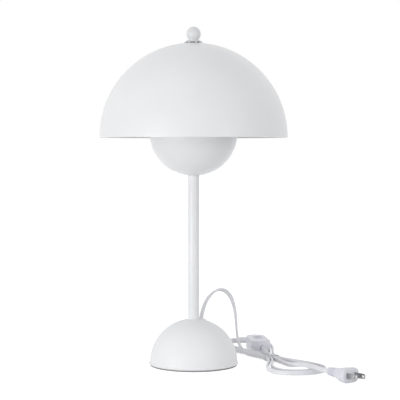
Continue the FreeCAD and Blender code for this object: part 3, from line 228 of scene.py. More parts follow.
def surface(name, dark, light, tint, gloss, low, high, dents=None, depth=0, strength=0, **sockets):
    """A finish from up to three noises, each given as what mottle needs: tint runs between two colours, gloss
    over a range of roughness, and dents go to a depth in metres."""
    finish = bpy.data.materials.new(name)
    finish.use_nodes = True
    tree = finish.node_tree
    shader = fill(tree.nodes["Principled BSDF"], **sockets)
    ramp = add_node(tree, "ValToRGB")
    stops = ramp.color_ramp.elements
    stops[0].position, stops[1].position = NOISE_LOW, NOISE_HIGH
    stops[0].color, stops[1].color = (*dark, 1), (*light, 1)
    tree.links.new(mottle(tree, *tint), ramp.inputs["Fac"])
    tree.links.new(ramp.outputs["Color"], shader.inputs["Base Color"])
    spread = add_node(tree, "MapRange", From_Min=NOISE_LOW, From_Max=NOISE_HIGH, To_Min=low, To_Max=high)
    tree.links.new(mottle(tree, *gloss), spread.inputs["Value"])
    tree.links.new(spread.outputs["Result"], shader.inputs["Roughness"])
    if dents:
        bump = add_node(tree, "Bump", Distance=depth, Strength=strength)
        tree.links.new(mottle(tree, *dents), bump.inputs["Height"])
        tree.links.new(bump.outputs["Normal"], shader.inputs["Normal"])
    return finish


# %% [markdown]
# The lamp's paint is a satin powder coat. Its orange peel is about a millimetre wide, its gloss wanders a
# little every few centimetres, and a thin clear coat gives the soft patches of light their edge. One paint
# could cover the whole lamp. Here the ball and the vent cap get a greyer mix, which is painted shade for the
# shadow under the ball and the weaker light from above. The base gets a whiter mix, which is painted light,
# and a duller one. So one function mixes it three times, and metals, plastics and glass have functions of
# their own.


# %% Paint, metals and plastics
def satin_paint(name, dark, light, dull=0):
    """Baked paint: a faint orange peel under a thin clear coat, both rougher where it is dull."""
    return surface(name, dark, light, tint=(0.06, 3), gloss=(0.03,), low=0.34 + dull, high=0.44 + dull,
                   dents=(0.0011, 1), depth=0.00003, strength=0.25,
                   Roughness=0.38, Coat_Weight=0.2, Coat_Roughness=0.22 + dull)


def plain_metal(name, dark, light, roughness, stretch):
    """Bare metal with the hair lines that turning or drawing leaves."""
    lines = (0.002, 4, stretch)
    return surface(name, dark, light, tint=(0.008, 3), gloss=lines, low=roughness - 0.07,
                   high=roughness + 0.1, dents=lines, depth=0.00002, strength=0.3,
                   Roughness=roughness, Metallic=1)


def moulded(name, dark, light, roughness, grain=0.0007):
    """Moulded plastic: a faint mottle and a skin as fine as the mould's."""
    return surface(name, dark, light, tint=(0.012, 3), gloss=(0.004,), low=roughness - 0.05,
                   high=roughness + 0.06, dents=(grain, 1), depth=0.00002, strength=0.2,
                   Roughness=roughness, Subsurface_Weight=0.08, Subsurface_Radius=(0.002, 0.002, 0.002))


def rough_stuff(name, dark, light, grain, depth):
    """Foam or cast iron: dull, with a coarse grain."""
    return surface(name, dark, light, tint=(grain, 4), gloss=(0.01,), low=0.82, high=0.95,
                   dents=(grain, 4), depth=depth, strength=0.6, Roughness=0.9)


def etched_glass(name, dark, light):
    """Glass etched on its inside, so that it looks milky from outside."""
    return surface(name, dark, light, tint=(0.015, 3), gloss=(0.004,), low=0.36, high=0.46,
                   Roughness=0.4, Transmission_Weight=0.3, Coat_Weight=0.6, Coat_Roughness=0.06)


# %% Mix the finishes
ROUND_LINES = (1, 1, 30)
LONG_LINES = (1, 30, 30)
FINISHES = {
    "white_paint": satin_paint("satin_white_paint", (0.83, 0.834, 0.842), (0.86, 0.863, 0.868)),
    "plain_steel": plain_metal("zinc_plated_steel", (0.5, 0.51, 0.52), (0.66, 0.67, 0.68), 0.34, ROUND_LINES),
    "brass": plain_metal("turned_brass", (0.62, 0.44, 0.18), (0.75, 0.56, 0.27), 0.3, ROUND_LINES),
    "cap_metal": plain_metal("pressed_cap_metal", (0.68, 0.68, 0.68), (0.8, 0.8, 0.8), 0.28, ROUND_LINES),
    "blade_metal": plain_metal("plated_blades", (0.3, 0.3, 0.31), (0.45, 0.45, 0.46), 0.3, LONG_LINES),
    "iron": rough_stuff("cast_iron", (0.05, 0.05, 0.055), (0.1, 0.1, 0.105), 0.002, 0.0003),
    "dark_pad": rough_stuff("dark_foam_pad", (0.29, 0.29, 0.296), (0.39, 0.39, 0.397), 0.0009, 0.0002),
    "holder_plastic": moulded("white_holder", (0.74, 0.74, 0.72), (0.8, 0.8, 0.78), 0.42),
    "cap_glass": moulded("dark_cap_glass", (0.012, 0.012, 0.014), (0.03, 0.03, 0.033), 0.15),
    "frosted_glass": etched_glass("frosted_bulb_glass", (0.9, 0.89, 0.86), (0.95, 0.945, 0.92)),
    "cord_white": moulded("cord_vinyl", (0.83, 0.83, 0.865), (0.88, 0.88, 0.91), 0.36, 0.0012),
    "tie_band": moulded("tie_paper", (0.7, 0.7, 0.735), (0.8, 0.8, 0.825), 0.6, 0.0009),
    "switch_plastic": moulded("switch_shell_plastic", (0.8, 0.8, 0.86), (0.845, 0.845, 0.9), 0.33),
    "rocker_plastic": moulded("rocker_plastic", (0.72, 0.72, 0.79), (0.77, 0.77, 0.83), 0.27),
    "plug_plastic": moulded("plug_plastic", (0.79, 0.79, 0.85), (0.84, 0.84, 0.895), 0.35),
}
# The trim mix is darkened as painted shade, for the shadow under the ball and on the vent cap.
TRIM_PAINT_PAINTED_SHADE = satin_paint("satin_trim_paint_painted_shade", (0.735, 0.74, 0.75), (0.775, 0.78, 0.788), dull=0.1)
# The base mix is lightened as painted light on the base, and is also duller.
BASE_PAINT_PAINTED_LIGHT = satin_paint("satin_base_paint_painted_light", (0.89, 0.893, 0.899), (0.915, 0.918, 0.922), dull=0.2)
for entry in frame["record"]["subparts"]:
    for place in NODES[entry["node"]].material_slots:
        place.material = FINISHES[entry["material_slot"]]
print(f"{len(FINISHES)} finishes on {len(NODES)} nodes")

# %% [markdown]
# ## Turning on the lathe
# Most of this lamp was spun from sheet or turned from bar. Cylinders and balls could be pushed into these
# shapes, but the thin wall of a sheet and its rounded edges are drawn more surely from the side. So most
# pieces are half sections, lists of radius and height, turned about an axis by `spin`. Edges sharper than a
# set angle stay crisp, and everything else is shaded smooth.


# %% Helpers for half sections
def arc(middle_radius, middle_height, radius, start, stop, steps):
    """Points along an arc of a half section. Angles are in degrees, from outwards to upwards."""
    angles = [radians(start + (stop - start) * step / steps) for step in range(steps + 1)]
    return [(middle_radius + radius * cos(angle), middle_height + radius * sin(angle))
            for angle in angles]


def reach(node):
    """Radius, foot and top of a node that stands on the axis, in millimetres."""
    low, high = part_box(node)
    return high.x / MM, low.z / MM, high.z / MM


def foot_edge(radius, foot, rounding, steps):
    """The rounded lower outer edge of a half section."""
    return arc(radius - rounding, foot + rounding, rounding, -90, 0, steps)


def top_edge(radius, top, rounding, steps):
    """The rounded upper outer edge of a half section."""
    return arc(radius - rounding, top - rounding, rounding, 0, 90, steps)


def ring_section(node, bore, low_round, high_round, low_steps=4, high_steps=4):
    """Half section of a ring or disc as large as a node, with its lower and its upper edge rounded."""
    radius, foot, top = reach(node)
    return [(bore, foot), *foot_edge(radius, foot, low_round, low_steps),
            *top_edge(radius, top, high_round, high_steps), (bore, top)]


# %% Helpers that turn and finish a shape
WELD = 0.001 * MM


def turned(half_section, steps=96, closed=True):
    """A shape turned about Z from a half section in millimetres, which stays open if it ends on the axis."""
    shape = bmesh.new()
    spots = [shape.verts.new((radius * MM, 0, height * MM)) for radius, height in half_section]
    pairs = list(zip(spots, spots[1:]))
    if closed:
        pairs.append((spots[-1], spots[0]))
    lines = [shape.edges.new(pair) for pair in pairs]
    bmesh.ops.spin(shape, geom=spots + lines, cent=(0, 0, 0), axis=(0, 0, 1), angle=tau, steps=steps,
                   use_merge=True)
    bmesh.ops.remove_doubles(shape, verts=shape.verts, dist=WELD)
    on_the_axis = [edge for edge in shape.edges if not edge.link_faces]
    bmesh.ops.delete(shape, geom=on_the_axis, context="EDGES")
    bmesh.ops.recalc_face_normals(shape, faces=shape.faces)
    return shape


def finished(name, shape, slot, body, *stands_for, crisp=35, paint=None):
    """A piece from a shape: smooth faces, crisp edges, its finish, and the body that it rides on."""
    for face in shape.faces:
        face.smooth = True
    for edge in shape.edges:
        if len(edge.link_faces) == 2:
            edge.smooth = edge.calc_face_angle() < radians(crisp)
    mesh = as_mesh(name, shape)
    mesh.materials.append(paint or FINISHES[slot])
    piece = put(name, mesh)
    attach(piece, body)
    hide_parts(*stands_for)
    print(f"{name}: {len(mesh.polygons)} faces")
    return piece


# %% [markdown]
# ## The cord
# A flat twin cord leaves a bushing at the foot of the pole, rises in an arch, and runs down behind the base
# into a hank that a tie holds at its waist. A curve with a bevel could draw it, but a flat cord has to lie
# flat in the bushing and stand on edge in the hank. So its section is extruded along the points of a smooth
# NURBS spline, turning a little at each step.

# %% Places in the hank
HANK_MIDDLE = (98, 30)
HANK_TURN = radians(18)
STRAND = 3.65
CROSSING = 9.85
SWITCH_MIDDLE = 8.7
PITCH = 3.9
WAIST = 7
LOOP_STEPS = 18


def on_hank(along, across, height):
    """A place from millimetres along the hank from its waist, across it to the right, and over the table."""
    return Vector((HANK_MIDDLE[0] - along * sin(HANK_TURN) + across * cos(HANK_TURN),
                   HANK_MIDDLE[1] + along * cos(HANK_TURN) + across * sin(HANK_TURN),
                   height)) * MM


def loop(side, length, bulge, across_from, across_to, share_from=0, lift=0):
    """Control points of one loop, from the waist out to its tip and back. Side is 1 for up, -1 for down."""
    spots = []
    for step in range(round(LOOP_STEPS * share_from), LOOP_STEPS + 1):
        share = step / LOOP_STEPS
        angle = pi * share
        along = side * (WAIST + length * sin(angle) ** 2)
        across = across_from + (across_to - across_from) * (1 - cos(angle)) / 2
        across += side * bulge * sin(2 * angle) * sin(angle) ** 2
        spots.append(on_hank(along, across, STRAND + lift * (2 - 2 * share) ** 2))
    return spots


# %% Route of the feed, from the bushing to the switch
OUTLET_MOUTH = (9.381, 13.398, 55.721)
LEAD_POINTS = [
    (10.9, 15.6, 64.3), (14.5, 20.2, 74.8), (21.3, 28.6, 83.8), (30.5, 40, 89), (40, 51.6, 86.4),
    (47.6, 61.4, 77), (52.2, 68, 62.4), (54.4, 71.6, 46), (55.2, 74, 30.5), (57.2, 71.9, 17),
    (61.3, 67.4, 8.2), (67.6, 60.6, 3.95),
]
TO_SWITCH = [
    (WAIST, PITCH, STRAND), (22, 4, STRAND), (33, 3.6, SWITCH_MIDDLE - 1), (44.6, 4.6, SWITCH_MIDDLE),
    (53.5, 6.3, SWITCH_MIDDLE),
]
lead = [Vector(spot) * MM for spot in [OUTLET_MOUTH, *LEAD_POINTS]]
feed = lead + [on_hank(31, -16, STRAND), on_hank(WAIST, -2 * PITCH, STRAND)]
feed += loop(-1, 106, 48, -2 * PITCH, 2 * PITCH)
feed += loop(1, 136, 49, 2 * PITCH, -PITCH)
feed += loop(-1, 97, 37, -PITCH, PITCH)
feed += [on_hank(*spot) for spot in TO_SWITCH]
print(f"feed: {len(feed)} control points")

# %% Route of the tail, from the switch to the plug
FROM_SWITCH = [
    (102.5, 16.1, SWITCH_MIDDLE), (111.4, 17.8, SWITCH_MIDDLE), (121, 15, SWITCH_MIDDLE), (127.9, 7.5, 8.3),
    (130.5, -2.3, 7.4), (128.2, -12.2, 6.6), (121.5, -19.9, 5.9), (112, -23.5, 5.5),
]
TO_PLUG = [
    (-WAIST, 0, STRAND), (-30, 0.2, STRAND), (-58, 1, STRAND), (-76, 2.8, STRAND + 3.4), (-92, 5, CROSSING),
    (-105, 8, CROSSING), (-118, 11.5, CROSSING), (-128, 15.4, SWITCH_MIDDLE), (-136, 18.5, SWITCH_MIDDLE),
]
tail = [on_hank(*spot) for spot in FROM_SWITCH]
tail += loop(1, 126, 37, PITCH, 0, share_from=2 / 3, lift=3.6)
tail += [on_hank(*spot) for spot in TO_PLUG]
print(f"tail: {len(tail)} control points")


# %% Draw a smooth line
def smooth_line(route):
    """Points along the NURBS spline that has the route's points as its control points."""
    data = bpy.data.curves.new("route", "CURVE")
    data.dimensions = "3D"
    data.resolution_u = 6
    spline = data.splines.new("NURBS")
    spline.points.add(len(route) - 1)
    for point, spot in zip(spline.points, route):
        point.co = (*spot, 1)
    spline.order_u = 3
    spline.use_endpoint_u = True
    line = bpy.data.objects.new("route", data)
    mesh = bpy.data.meshes.new_from_object(line)
    points = [vertex.co.copy() for vertex in mesh.vertices]
    bpy.data.objects.remove(line)
    bpy.data.curves.remove(data)
    bpy.data.meshes.remove(mesh)
    return points


# %% Turn the section along the line
UP = Vector((0, 0, 1))


def flat_to(heading, direction):
    """A direction made square to a heading."""
    return (direction - heading * direction.dot(heading)).normalized()


def cord_frames(points, first_side, upright_from):
    """A frame at each point. The width starts along first_side and stands upright from a point on."""
    before = [points[0], *points[:-1]]
    after = [*points[1:], points[-1]]
    headings = [(late - early).normalized() for early, late in zip(before, after)]
    sides = [flat_to(headings[0], first_side)]
    for last, heading in zip(headings, headings[1:]):
        sides.append(flat_to(heading, last.rotation_difference(heading) @ sides[-1]))
    end = headings[upright_from]
    upright = flat_to(end, UP)
    twist = atan2(end.dot(sides[upright_from].cross(upright)), sides[upright_from].dot(upright))
    frames = []
    for index, (point, heading, side) in enumerate(zip(points, headings, sides)):
        if index < upright_from:
            share = index / upright_from
            width = Matrix.Rotation(twist * share * share * (3 - 2 * share), 3, heading) @ side
        else:
            width = flat_to(heading, UP)
        axes = Matrix((width, heading.cross(width), heading)).transposed().to_4x4()
        frames.append(Matrix.Translation(point) @ axes)
    return frames


# %% Extrude the section
def swept(section, frames):
    """A tube of a section, extruded from each frame to the next."""
    shape = bmesh.new()
    ring = [shape.verts.new((x * MM, y * MM, 0)) for x, y in section]
    lines = [shape.edges.new(pair) for pair in zip(ring, ring[1:] + ring[:1])]
    bmesh.ops.transform(shape, matrix=frames[0], verts=ring)
    for last, following in zip(frames, frames[1:]):
        grown = bmesh.ops.extrude_edge_only(shape, edges=lines)["geom"]
        ring = [item for item in grown if isinstance(item, bmesh.types.BMVert)]
        lines = [item for item in grown
                 if isinstance(item, bmesh.types.BMEdge) and all(spot in ring for spot in item.verts)]
        bmesh.ops.transform(shape, matrix=following @ last.inverted(), verts=ring)
    bmesh.ops.holes_fill(shape, edges=shape.edges)
    bmesh.ops.recalc_face_normals(shape, faces=shape.faces)
    return shape


# %% [markdown]
# The section of a twin cord is two round cores side by side with a shallow valley between them. Two round
# cords could be laid side by side, but they would part or cut into each other where the cord turns. So it
# is one outline: each core is most of a circle, and the valley is one point on either side.

# %% Make the cords
CORD_WIDTH = 5.6
CORE = CORD_WIDTH / 4
CORE_ANGLE = 115
VALLEY = 1.05
twin_section = arc(CORE, 0, CORE, -CORE_ANGLE, CORE_ANGLE, 8) + [(0, VALLEY)]
twin_section += arc(-CORE, 0, CORE, 180 - CORE_ANGLE, 180 + CORE_ANGLE, 8) + [(0, -VALLEY)]
exit_azimuth = atan2(OUTLET_MOUTH[1], OUTLET_MOUTH[0])
outlet_side = Vector((-sin(exit_azimuth), cos(exit_azimuth), 0))

feed_line = smooth_line(feed)
tail_line = smooth_line(tail)
hank_begins = min(range(len(feed_line)), key=lambda index: (feed_line[index] - feed[len(lead)]).length)
feed_cord = finished("feed_cord", swept(twin_section, cord_frames(feed_line, outlet_side, hank_begins)),
                     "cord_white", "stand", "cord_lead", "cord_hank_feed", crisp=60)
tail_cord = finished("tail_cord", swept(twin_section, cord_frames(tail_line, UP, 0)),
                     "cord_white", "stand", "cord_hank_tail", crisp=60)
for label, line in (("feed", feed_line), ("tail", tail_line)):
    print(f"{label} cord: {sum((late - early).length for early, late in zip(line, line[1:])):.4f} m")

# %% [markdown]
# ## The shade
# The shade is a half dome spun from sheet a millimetre thick, with a rounded rim and a small flat on top
# where the stud comes through. Half a ball could be given a wall with `solidify`, but its rim would be
# square and the flat would still be missing. So the half section follows the sheet, outside and inside, and
# the eight vent holes in the flat are cut afterwards.


# %% Cut a shape with others
def shift(x, y, z):
    """A move by millimetres."""
    return Matrix.Translation(Vector((x, y, z)) * MM)


def carved(shape, cutter):
    """A shape less a cutter. Both are bmeshes, and both are used up."""
    carriers = [put("carved", as_mesh("carved", shape)), put("cutter", as_mesh("cutter", cutter))]
    cut = carriers[0].modifiers.new("cut", "BOOLEAN")
    cut.object = carriers[1]
    cut.solver = "EXACT"
    result = bmesh.new()
    result.from_object(carriers[0], bpy.context.evaluated_depsgraph_get())
    for carrier in carriers:
        mesh = carrier.data
        bpy.data.objects.remove(carrier)
        bpy.data.meshes.remove(mesh)
    bmesh.ops.remove_doubles(result, verts=result.verts, dist=WELD)
    return result


def drill(shape, radius, length, along=0, across=0, height=0):
    """Add a plain round upright cutter to a shape, in millimetres."""
    bmesh.ops.create_cone(shape, cap_ends=True, segments=32, radius1=radius * MM, radius2=radius * MM,
                          depth=length * MM, matrix=shift(along, across, height))


def drill_ring(shape, radius, length, circle, height, turns):
    """Add a cutter at each of some turns about the axis, in degrees."""
    for turn in turns:
        angle = radians(turn)
        drill(shape, radius, length, circle * cos(angle), circle * sin(angle), height)


# %% Turn the shade
SHEET = 1
CROWN_FLAT = 13.6
STUD_HOLE = 3.25
VENT_HOLE = 1.9
HOLE_CIRCLE = 9.6
VENT_STEP = 45
FIRST_HOLE = 38
shade_radius, rim, shade_top = reach("shade")
shade_middle = shade_top - sqrt(shade_radius ** 2 - CROWN_FLAT ** 2)
inner = shade_radius - SHEET
crown = degrees(asin((shade_top - shade_middle) / shade_radius))
crown_inside = degrees(asin((shade_top - SHEET - shade_middle) / inner))
half_section = [(STUD_HOLE, shade_top)]
half_section += arc(0, shade_middle, shade_radius, crown, 0, 56)
half_section += arc(shade_radius - SHEET / 2, rim + SHEET / 2, SHEET / 2, 0, -180, 8)
half_section += arc(0, shade_middle, inner, 0, crown_inside, 56)
half_section += [(STUD_HOLE, shade_top - SHEET)]
vent_holes = bmesh.new()
drill_ring(vent_holes, VENT_HOLE, 4 * SHEET, HOLE_CIRCLE, shade_top,
           range(FIRST_HOLE, FIRST_HOLE + 360, VENT_STEP))
finished("shade_dome", carved(turned(half_section, 144), vent_holes), "white_paint", "shade", "shade")

# %% [markdown]
# ## The vent cap and the ball
# A small cone stands on eight posts over the vent holes, so that warm air leaves through the slots between
# them. Above it a ball on a short neck screws onto the stud and holds the shade down. The slots could be
# cut out of a turned ring, but cutting leaves long thin faces, which shade badly on so small a piece. So
# the posts are short turns of one small outline, and reach a little way into the cone.

# %% Turn the vent cap
cap_radius, cap_foot, cap_top = reach("vent_cap")
CAP_TOP_RADIUS = 6.8
CAP_SHEET = 0.9
CAP_ROUND = 0.5
SLOT = 1.7
LIP_HEIGHT = 0.25
LIP_DRAFT = 0.05
POST = 1.6
FIRST_POST = 16
BITE = 0.1
slope = (cap_radius - CAP_TOP_RADIUS) / (cap_top - cap_foot)
eave = cap_radius - slope * SLOT
slot_top = cap_foot + SLOT
cap_shape = turned([
    (STUD_HOLE, cap_top),
    *arc(CAP_TOP_RADIUS - CAP_ROUND, cap_top - CAP_ROUND, CAP_ROUND, 90, 35, 3),
    (eave, slot_top + LIP_HEIGHT),
    (eave - LIP_DRAFT, slot_top),
    (eave - 1.6 * CAP_SHEET, slot_top),
    (CAP_TOP_RADIUS - CAP_SHEET, cap_top - CAP_SHEET),
    (STUD_HOLE, cap_top - CAP_SHEET)])
post_angle = POST / cap_radius
for turn in range(FIRST_POST, FIRST_POST + 360, VENT_STEP):
    corners = [(cap_radius - 2 * CAP_SHEET, cap_foot), (cap_radius, cap_foot),
               (eave - BITE, slot_top + BITE), (eave - 1.5 * CAP_SHEET, slot_top + BITE)]
    spots = [cap_shape.verts.new((radius * MM, 0, height * MM)) for radius, height in corners]
    bmesh.ops.rotate(cap_shape, verts=spots, cent=(0, 0, 0),
                     matrix=Matrix.Rotation(radians(turn) - post_angle / 2, 3, "Z"))
    face = cap_shape.faces.new(spots)
    bmesh.ops.spin(cap_shape, geom=[face, *face.edges, *spots], cent=(0, 0, 0), axis=(0, 0, 1),
                   angle=post_angle, steps=3)
bmesh.ops.recalc_face_normals(cap_shape, faces=cap_shape.faces)
# The vent cap takes the trim mix, darkened as painted shade.
finished("vent_cap_roof", cap_shape, "white_paint", "shade", "vent_cap", paint=TRIM_PAINT_PAINTED_SHADE)

# %% Turn the ball and its washer
ball_radius, ball_foot, ball_top = reach("finial_ball")
NECK = 6.3
NECK_ROUND = 0.15
WASHER_ROUND = 0.2
BORE_DEPTH = 7.4
neck_angle = -degrees(acos(NECK / ball_radius))
ball = [(0, ball_foot + BORE_DEPTH), (STUD_HOLE, ball_foot + BORE_DEPTH), (STUD_HOLE, ball_foot)]
ball += foot_edge(NECK, ball_foot, NECK_ROUND, 3)
ball += arc(0, ball_top - ball_radius, ball_radius, neck_angle, 90, 28)
# The ball and its washer take the trim mix, darkened as painted shade.
finished("ball_finial", turned(ball, 64, closed=False), "white_paint", "finial", "finial_ball",
         paint=TRIM_PAINT_PAINTED_SHADE)
washer = ring_section("finial_washer", STUD_HOLE, WASHER_ROUND, WASHER_ROUND, 3, 3)
finished("ball_washer", turned(washer, 64), "white_paint", "finial_carrier", "finial_washer",
         paint=TRIM_PAINT_PAINTED_SHADE)

# %% [markdown]
# ## The bowl and the pole
# The bowl is a half ball of sheet with a rolled rim, open at the top, where the bulb stands in it. The pole
# is a plain tube. Where they meet, the sheet is pressed flat. The bowl could be half of a ball, but with
# the shade off one looks straight into it, so its inside counts as much as its outside. Both are drawn in
# one half section.

# %% Turn the bowl and the pole
TUBE_HOLE = 5.15
ROLL_START = -0.6
EASE = 0.35
bowl_radius, bowl_foot, bowl_rim = reach("bowl")
bowl_inner = bowl_radius - SHEET
foot_angle = degrees(asin((bowl_foot - bowl_rim) / bowl_radius))
floor_angle = degrees(asin((bowl_foot + SHEET - bowl_rim) / bowl_inner))
bowl = [(TUBE_HOLE, bowl_foot)] + arc(0, bowl_rim, bowl_radius, foot_angle, ROLL_START, 48)
bowl += arc(bowl_radius - SHEET / 2, bowl_rim - SHEET / 2, SHEET / 2, 0, 180, 8)
bowl += arc(0, bowl_rim, bowl_inner, ROLL_START, floor_angle, 48)
bowl += [(TUBE_HOLE, bowl_foot + SHEET)]
finished("bulb_bowl", turned(bowl, 120), "white_paint", "stand", "bowl")
finished("pole_tube", turned(ring_section("pole", TUBE_HOLE, EASE, EASE), 64), "white_paint", "stand", "pole")

# %% [markdown]
# ## The base
# A smaller dome of sheet hides an iron weight. Its edge is rolled outwards into a thin bead, and a dark
# soft pad shows as a line under it. A bevel could round the dome's lower edge, but the bead stands out from
# the dome and catches the light. So it is an arc of its own in the half section.

# %% Turn the base and its pad
SEAT = 7.3
DOME_SHEET = 1.2
BEAD = 1.2
PAD_ROUND = 0.4
dome_foot, dome_top = reach("base_dome")[1:]
dome_middle = dome_foot + BEAD
dome_radius = hypot(SEAT, dome_top - dome_middle)
bead_middle = sqrt(dome_radius ** 2 - BEAD ** 2)
bead_angle = degrees(asin(BEAD / dome_radius))
seat_angle = degrees(acos(SEAT / dome_radius))
dome_inner = dome_radius - DOME_SHEET
inner_angle = degrees(asin((dome_top - DOME_SHEET - dome_middle) / dome_inner))
dome = [(TUBE_HOLE, dome_top)]
dome += arc(0, dome_middle, dome_radius, seat_angle, bead_angle, 48)
dome += arc(bead_middle, dome_middle, BEAD, 80, -90, 10)
dome += [(dome_inner, dome_foot)]
dome += arc(0, dome_middle, dome_inner, 0, inner_angle, 40)
dome += [(TUBE_HOLE, dome_top - DOME_SHEET)]
# The base cover takes the base mix, lightened as painted light.
finished("base_cover", turned(dome, 128), "white_paint", "stand", "base_dome", paint=BASE_PAINT_PAINTED_LIGHT)
pad = ring_section("base_pad", 0, PAD_ROUND, PAD_ROUND)
finished("soft_pad", turned(pad, 128, closed=False), "dark_pad", "stand", "base_pad")

# %% [markdown]
# ## The cord bushing
# Where the cord leaves the base, a soft bushing keeps the sheet's edge off it: a turned plug with a rounded
# flange and a flat slot. It could be modelled where it sits, but there every number would be a slanted one.
# So it is turned upright, slotted, and then leaned over with the surface of the dome.


# %% Blocks with rounded edges
def soften(shape, edges, rounding, steps):
    """Round some edges of a shape. A single step cuts them flat."""
    bmesh.ops.bevel(shape, geom=edges, offset=rounding * MM, offset_type="OFFSET", segments=steps,
                    profile=0.5, affect="EDGES", material=-1)


def sharp_block(length, width, height):
    """A block about the origin, in millimetres."""
    shape = bmesh.new()
    bmesh.ops.create_cube(shape, size=MM)
    bmesh.ops.scale(shape, vec=(length, width, height), verts=shape.verts)
    return shape


def block(length, width, height, rounding, steps=3):
    """A block about the origin with rounded edges, in millimetres."""
    shape = sharp_block(length, width, height)
    soften(shape, shape.edges, rounding, steps)
    return shape


def set_down(shape, place):
    """Move a whole shape from its own frame to its place."""
    bmesh.ops.transform(shape, matrix=place, verts=shape.verts)
    return shape


# %% Turn the bushing
FLANGE = 6.2
FLANGE_ROUND = 0.9
LIP = 1.2
BUSHING_STEM = [(0, -11), (4.2, -11), (4.9, -2.4), (4.9, -0.22), (FLANGE, -0.36)]
CORD_GAP = 0.3
SLOT_DEPTH = 40
SLOT_ROUND = 1.2
mouth = Vector(OUTLET_MOUTH)
exit_lean = acos((mouth.z - dome_middle) / (mouth - Vector((0, 0, dome_middle))).length)
outlet_turn = Matrix.Rotation(exit_azimuth, 4, "Z") @ Matrix.Rotation(exit_lean, 4, "Y")
outlet_place = Matrix.Translation((mouth - outlet_turn.to_3x3() @ Vector((0, 0, LIP))) * MM) @ outlet_turn
bushing = BUSHING_STEM + arc(FLANGE - FLANGE_ROUND, LIP - FLANGE_ROUND, FLANGE_ROUND, 20, 90, 6)
bushing += [(0, LIP)]
cord_slot = block(2 * CORE + 2 * CORD_GAP, CORD_WIDTH + 2 * CORD_GAP, SLOT_DEPTH, SLOT_ROUND)
bushing_shape = carved(turned(bushing, 64, closed=False), cord_slot)
finished("cord_bushing_plug", set_down(bushing_shape, outlet_place), "cord_white", "stand", "cord_bushing")

# %% [markdown]
# ## The harp
# Inside the shade a wire bow, a harp, carries the stud that the shade hangs on. Its legs stand in two
# sleeves on a saddle strip under the lampholder. A curve with a round bevel could draw the wire, but it
# would have to be made a mesh afterwards, and `swept` is already at hand. So one small circle is swept up a
# leg, half way round and down the other leg.

# %% Bend the harp's wire
WIRE = 1.8
WIRE_SIDES = 20
BOW_STEPS = 48
wire_reach, wire_foot, wire_top = reach("harp_wire")
span = wire_reach - WIRE
bow_middle = wire_top - WIRE - span
bends = [(wire_foot, 0)]
bends += [(bow_middle, pi * step / BOW_STEPS) for step in range(BOW_STEPS + 1)]
bends += [(wire_foot, pi)]
wire_frames = [shift(0, 0, level) @ Matrix.Rotation(turn, 4, "Y") @ shift(-span, 0, 0)
               for level, turn in bends]
wire_circle = arc(0, 0, WIRE, 0, 360 - 360 / WIRE_SIDES, WIRE_SIDES - 1)
finished("harp_bow", swept(wire_circle, wire_frames), "plain_steel", "stand", "harp_wire")


# %% Turn the sleeves
def joined(shape, other):
    """A shape with another one added to it. The other one is used up."""
    mesh = as_mesh("joined", other)
    shape.from_mesh(mesh)
    bpy.data.meshes.remove(mesh)
    return shape


SLEEVE = 3.4
SLEEVE_FOOT_ROUND, SLEEVE_TOP_ROUND = 0.6, 0.9
GROOVE = ((0, 4), (0.5, 4.5), (0.5, 6), (0, 6.5))
PLAY = 0.05
sleeve_foot, sleeve_top = reach("harp_ferrules")[1:]
sleeve = [(WIRE + PLAY, sleeve_foot), *foot_edge(SLEEVE, sleeve_foot, SLEEVE_FOOT_ROUND, 4)]
sleeve += [(SLEEVE - depth, sleeve_foot + level) for depth, level in GROOVE]
sleeve += [*top_edge(SLEEVE, sleeve_top, SLEEVE_TOP_ROUND, 5), (WIRE + PLAY, sleeve_top)]
sleeves = bmesh.new()
for side in (-1, 1):
    joined(sleeves, set_down(turned(sleeve, 40), shift(side * span, 0, 0)))
finished("harp_sleeves", sleeves, "brass", "stand", "harp_ferrules")

# %% [markdown]
# The stud has a real screw thread. Rings set one over another could pass for it from afar, but up close a
# thread climbs. So it is one small outline that climbs as it turns, which is what `spin` does when each
# step also moves along the axis. Its root reaches a little way into the stud.


# %% Cut a thread
CREST_LOW, CREST_HIGH = 0.35, 0.65


def add_thread(shape, root, crest, pitch, foot, turns, share=0.7, steps=32):
    """Add a screw thread: a ridge from a root to a crest, as wide at its root as a share of the pitch."""
    climb = Vector((0, 0, pitch / steps)) * MM
    width = share * pitch
    corners = [(root - BITE, 0), (root - BITE, width),
               (crest, CREST_HIGH * width), (crest, CREST_LOW * width)]
    spots = [shape.verts.new((radius * MM, 0, (foot + height) * MM)) for radius, height in corners]
    start = shape.faces.new(spots)
    bmesh.ops.spin(shape, geom=[start], cent=(0, 0, 0), dvec=climb, axis=(0, 0, 1), angle=tau * turns,
                   steps=round(steps * turns))
    bmesh.ops.recalc_face_normals(shape, faces=shape.faces)


# %% Turn the stud, its collar and its block
STUD = 3.2
STUD_PITCH = 0.94
STUD_ROOT = 2.85
STUD_TIP = 0.6
THREAD_START = 0.2
PLAIN_ENDS = 1.4
COLLAR_FOOT_ROUND, COLLAR_TOP_ROUND = 0.5, 0.3
SWIVEL_FOOT_ROUND, SWIVEL_TOP_ROUND = 0.8, 0.4
stud_foot, stud_top = reach("shade_stud")[1:]
stud = turned([(0, stud_foot), (STUD_ROOT, stud_foot), (STUD_ROOT, stud_top - STUD_TIP),
               (STUD_ROOT - STUD_TIP, stud_top), (0, stud_top)], 48, closed=False)
stud_turns = int((stud_top - stud_foot - PLAIN_ENDS) / STUD_PITCH)
add_thread(stud, STUD_ROOT, STUD, STUD_PITCH, stud_foot + THREAD_START, stud_turns)
finished("threaded_stud", stud, "plain_steel", "stand", "shade_stud")

